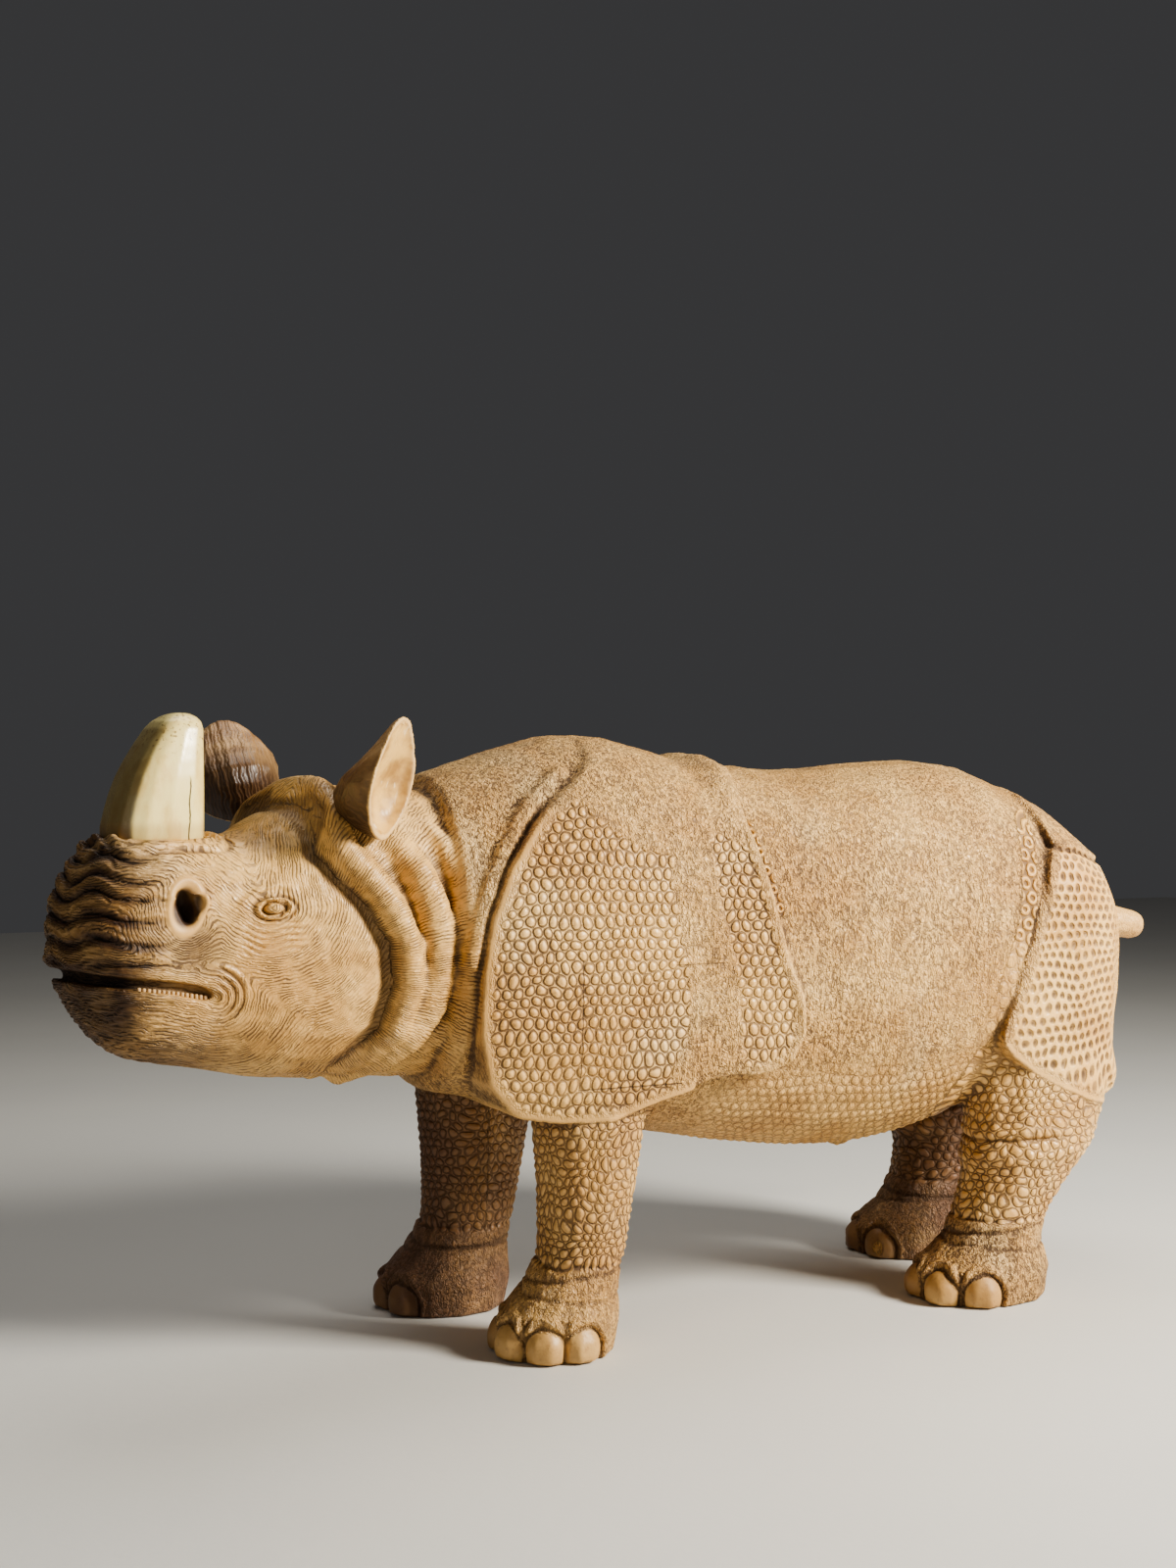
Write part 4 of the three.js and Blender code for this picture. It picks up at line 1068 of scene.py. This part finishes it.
# %% Horn
horn = fine_copy("horn", "pale_horn", 0.0018)
smooth_by(horn, 1.0, 16)
hx, hy, hz = carver_frame(corners(horn))
horn_forward, horn_side = head_frame(hx, hy)
horn_facing, _ = head_frame_direction(normals(horn))
keep_three(horn, "horn_place", horn_forward, horn_side, hz)
keep_number(horn, "horn_front", step(0.5, 0.86, horn_facing))
bone = Finish("pale_horn")
along_head, across_head, up_horn = bone.parts(bone.attribute("horn_place", "Vector"))
front_face_shade = bone.attribute("horn_front")
stain_cloud = bone.noise(34.0, 5.0, (1, 1, 0.45), 0.65)
crack_line = bone.noise(60.0, 2.0) * 6.0 - 3.0 + (up_horn - 650) * 0.05
crack_away = (along_head - 358 + crack_line).math("ABSOLUTE")
crack = (1 - bone.ramp(crack_away, 0.4, 1.1)) * (1 - bone.ramp(up_horn, 684, 694))
crack = crack * bone.ramp(across_head, 0, 4)
specks = bone.ramp(bone.noise(210.0, 3.0), 0.56, 0.66) * bone.ramp(up_horn, 706, 735)
# Painted shade on the front face, which turns away from the light, and on the foot of the horn where it
# meets the head; the clouds, specks and crack are the horn's own colour.
bone_colour = bone.coats(
    linear(252, 232, 160),
    (bone.ramp(stain_cloud, 0.42, 0.66) * 0.6, (214, 176, 98)),
    (specks * 0.7, (112, 78, 38)),
    (front_face_shade * 0.8, (88, 66, 40)),
    ((1 - bone.ramp(up_horn, 632, 646)) * 0.35, (150, 112, 66)),
    (crack * 0.9, (48, 30, 16)),
)
bone_height = bone.noise(45.0, 3.0, (1, 1, 0.25)) * 0.5 - crack * 1.2
bone.surface(bone_colour, bone.ramp(stain_cloud, 0.3, 0.7) * 0.14 + 0.2, bone.bump(bone_height, 0.001))
print("horn:", len(horn.data.vertices), "corners")

# %% [markdown]
# ## Ears
# Each ear is a boat-shaped leaf: a brown, round back towards the nose, with painted shade that darkens it
# towards its foot, and a pale, shallow cup behind, with a thin rim between them. The frame of the ear is
# the same as in the solids, so that the rim stays crisp while the back and the cup are rubbed smooth.

# %% Ears
EAR_LEAN, EAR_TURN, EAR_HALF_WIDTH, EAR_HEIGHT = 3, 122, 59.0, 145.0
EARS = {
    "ear_left": {"side": 1, "splay": 13, "foot": (162.0, 136.0, 619.0)},
    "ear_right": {"side": -1, "splay": 29, "foot": (188.0, -136.0, 637.0)},
}


def turn_about(axis, degrees):
    """A matrix that turns points about one of the three axes."""
    c, s = math.cos(math.radians(degrees)), math.sin(math.radians(degrees))
    rows = {
        "x": [[1, 0, 0], [0, c, -s], [0, s, c]],
        "y": [[c, 0, s], [0, 1, 0], [-s, 0, c]],
        "z": [[c, -s, 0], [s, c, 0], [0, 0, 1]],
    }
    return np.array(rows[axis])


def ear_turn(ear):
    """The turn from an ear's own frame (out of its cup, across it, along it) to the head's frame."""
    side = ear["side"]
    lean = turn_about("y", -EAR_LEAN) @ turn_about("x", -side * ear["splay"])
    return lean @ turn_about("z", side * EAR_TURN)


def ear_frame(piece, ear):
    """Out of the cup, across it and along the ear, for each corner of an ear."""
    px, py, pz = carver_frame(corners(piece))
    return (np.stack([*head_frame(px, py), pz], axis=-1) - np.array(ear["foot"])) @ ear_turn(ear)


leaf = Finish("smooth_wood")
ear_rim, ear_back, _ = leaf.channels("ear_share")
_, ear_across, ear_along = leaf.parts(leaf.attribute("ear_place", "Vector"))
back_wave = (ear_across + leaf.noise(45.0, 3.0) * 14.0).math("MULTIPLY", 1.3).math("SINE")
back_cloud = leaf.ramp(leaf.noise(28.0, 5.0), 0.35, 0.65)
back_tan = leaf.mix(back_cloud, linear(190, 152, 104), linear(140, 104, 66))
# Painted shade on the back of the ear, darker towards its foot.
back_shaded_to_foot = leaf.mix(1 - leaf.ramp(ear_along, 20.0, 105.0), back_tan, linear(56, 37, 24))
cup_tan = leaf.coats(
    linear(232, 190, 116),
    (leaf.ramp(leaf.noise(30.0, 4.0), 0.35, 0.7), (170, 130, 76)),
    (leaf.ramp(leaf.noise(120.0, 2.0, (1, 1, 0.12)), 0.62, 0.7) * 0.5, (240, 224, 190)),
)
leaf_colour = leaf.coats(
    leaf.mix(ear_back, cup_tan, back_shaded_to_foot),
    (ear_back * leaf.ramp(back_wave, 0.2, 0.9) * 0.15, (168, 128, 84)),
    (ear_rim * 0.8, (228, 190, 134)),
)
leaf_height = ear_back * leaf.ramp(back_wave, -0.6, 0.8) * 0.3 + leaf.noise(90.0, 3.0) * 0.6
leaf_height = leaf_height + ear_rim * leaf.noise(160.0, 2.0) * 0.9
leaf.surface(leaf_colour, leaf.ramp(back_wave, 0, 1) * 0.1 + 0.4, leaf.bump(leaf_height, 0.001))
for node, ear in EARS.items():
    piece = fine_copy(node, "carved_" + node, 0.0014)
    out, wide, tall = ear_frame(piece, ear).T
    at_rim = np.abs(out) < 3.0
    smooth_by(piece, np.where(at_rim, 0.08, 1.0), 60)
    smooth_by(piece, 0.4, 4)
    out, wide, tall = ear_frame(piece, ear).T
    outward = normals(piece)
    facing = np.stack([*head_frame_direction(outward), outward[:, 2]], axis=-1) @ ear_turn(ear)
    in_cup = (facing[:, 0] > 0.25) * (out < -1.0)
    half = EAR_HALF_WIDTH * np.clip(np.sin(np.pi * np.clip(tall / EAR_HEIGHT, 0.02, 0.98)), 0.2, 1)
    fold = 2.6 * bump_at(wide / half, -0.25 + 0.3 * (tall / EAR_HEIGHT), 0.13) * in_cup
    notches = 0.7 * noise((wide, tall, out), 9.0, 21) * bump_at(out, 0, 3)
    grooves = 0.3 * np.cos(wide * 2 * math.pi / 11.0) * (facing[:, 0] < 0)
    rise = fold + notches + grooves
    set_corners(piece, corners(piece) + outward * rise[:, None] / MM)
    at_back = (facing[:, 0] < 0.1) * (out < -2.5)
    keep_three(piece, "ear_share", bump_at(out, 0.5, 2.4), at_back, np.zeros(len(out)))
    keep_three(piece, "ear_place", out, wide, tall)
    EARS[node]["piece"] = piece
    print(node, len(out), "corners")

# %% [markdown]
# ## Tail, teeth and the last settings
# The tail is a smooth stub with fine tool marks. The teeth are a row of small pegs, cut into the lower lip
# inside the mouth: one peg is modelled from a cube with rounded edges, and copied along the slit.

# %% Tail
tail = fine_copy("tail", "tail_stub", 0.002)
smooth_by(tail, 1.0, 6)
nothing = np.zeros(len(tail.data.vertices))
keep_three(tail, "finish_share", nothing, nothing, nothing + 0.35)
keep_three(tail, "scale_share", nothing, nothing, nothing + 0.4)
keep_three(tail, "tone_share", nothing, nothing + 0.12, nothing)
print("tail:", len(nothing), "corners")

# %% Teeth
TOOTH = {"wide": 4.4, "tall": 8.0, "deep": 4.0, "pitch": 5.4, "sunk": 7.0}
TOOTH_LINE = [(362, 449), (400, 456), (440, 462)]


def tooth_places(side_sign):
    """Where the teeth stand, in the head's frame: just inside the lip on one side."""
    fx, fy, fz = carver_frame(corners(head))
    lip_forward, lip_side = head_frame(fx, fy)
    places = []
    run = TOOTH_LINE[0][0]
    while run < TOOTH_LINE[-1][0]:
        up = float(np.interp(run, *zip(*TOOTH_LINE)))
        near = (np.abs(lip_forward - run) < 5) & (np.abs(fz - up + 9) < 5) & (lip_side * side_sign > 0)
        if near.any():
            places.append((run, side_sign * (float(np.abs(lip_side[near]).max()) - TOOTH["sunk"]), up))
        run += TOOTH["pitch"]
    return places


bpy.ops.object.select_all(action="DESELECT")
teeth = []
for side_sign in (1, -1):
    for tooth_forward, tooth_side, tooth_up in tooth_places(side_sign):
        spot = from_head(tooth_forward, tooth_side, tooth_up)
        bpy.ops.mesh.primitive_cube_add(size=1, location=spot, rotation=(0, 0, HEAD_TURN))
        tooth = bpy.context.object
        tooth.scale = (TOOTH["wide"] / MM, TOOTH["deep"] / MM, TOOTH["tall"] / MM)
        bpy.ops.object.transform_apply(location=True, rotation=True, scale=True)
        apply_modifier(tooth, "BEVEL", width=0.0014, segments=2, limit_method="NONE")
        teeth.append(tooth)
bpy.ops.object.select_all(action="DESELECT")
for tooth in teeth:
    tooth.select_set(True)
bpy.context.view_layer.objects.active = teeth[0]
bpy.ops.object.join()
teeth_row = bpy.context.object
teeth_row.name = "teeth"
bpy.ops.object.shade_smooth_by_angle(angle=math.radians(60))
ivory = Finish("tooth_wood")
tooth_colour = ivory.mix(ivory.noise(90.0), linear(206, 172, 124), linear(168, 130, 84))
ivory.surface(tooth_colour, 0.5, ivory.bump(ivory.noise(200.0), 0.0003))
ivory.cover(teeth_row)
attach(teeth_row, "root")
print(len(teeth), "teeth")

# %% Horn, ears and tail take the place of their solids
for piece, node, finish, slot in (
    (horn, "horn", bone, "pale_horn"),
    (EARS["ear_left"]["piece"], "ear_left", leaf, "smooth_wood"),
    (EARS["ear_right"]["piece"], "ear_right", leaf, "smooth_wood"),
    (tail, "tail", wood, "carved_wood"),
):
    make_triangles(piece)
    finish.cover(piece)
    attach(piece, "root")
    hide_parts(node)
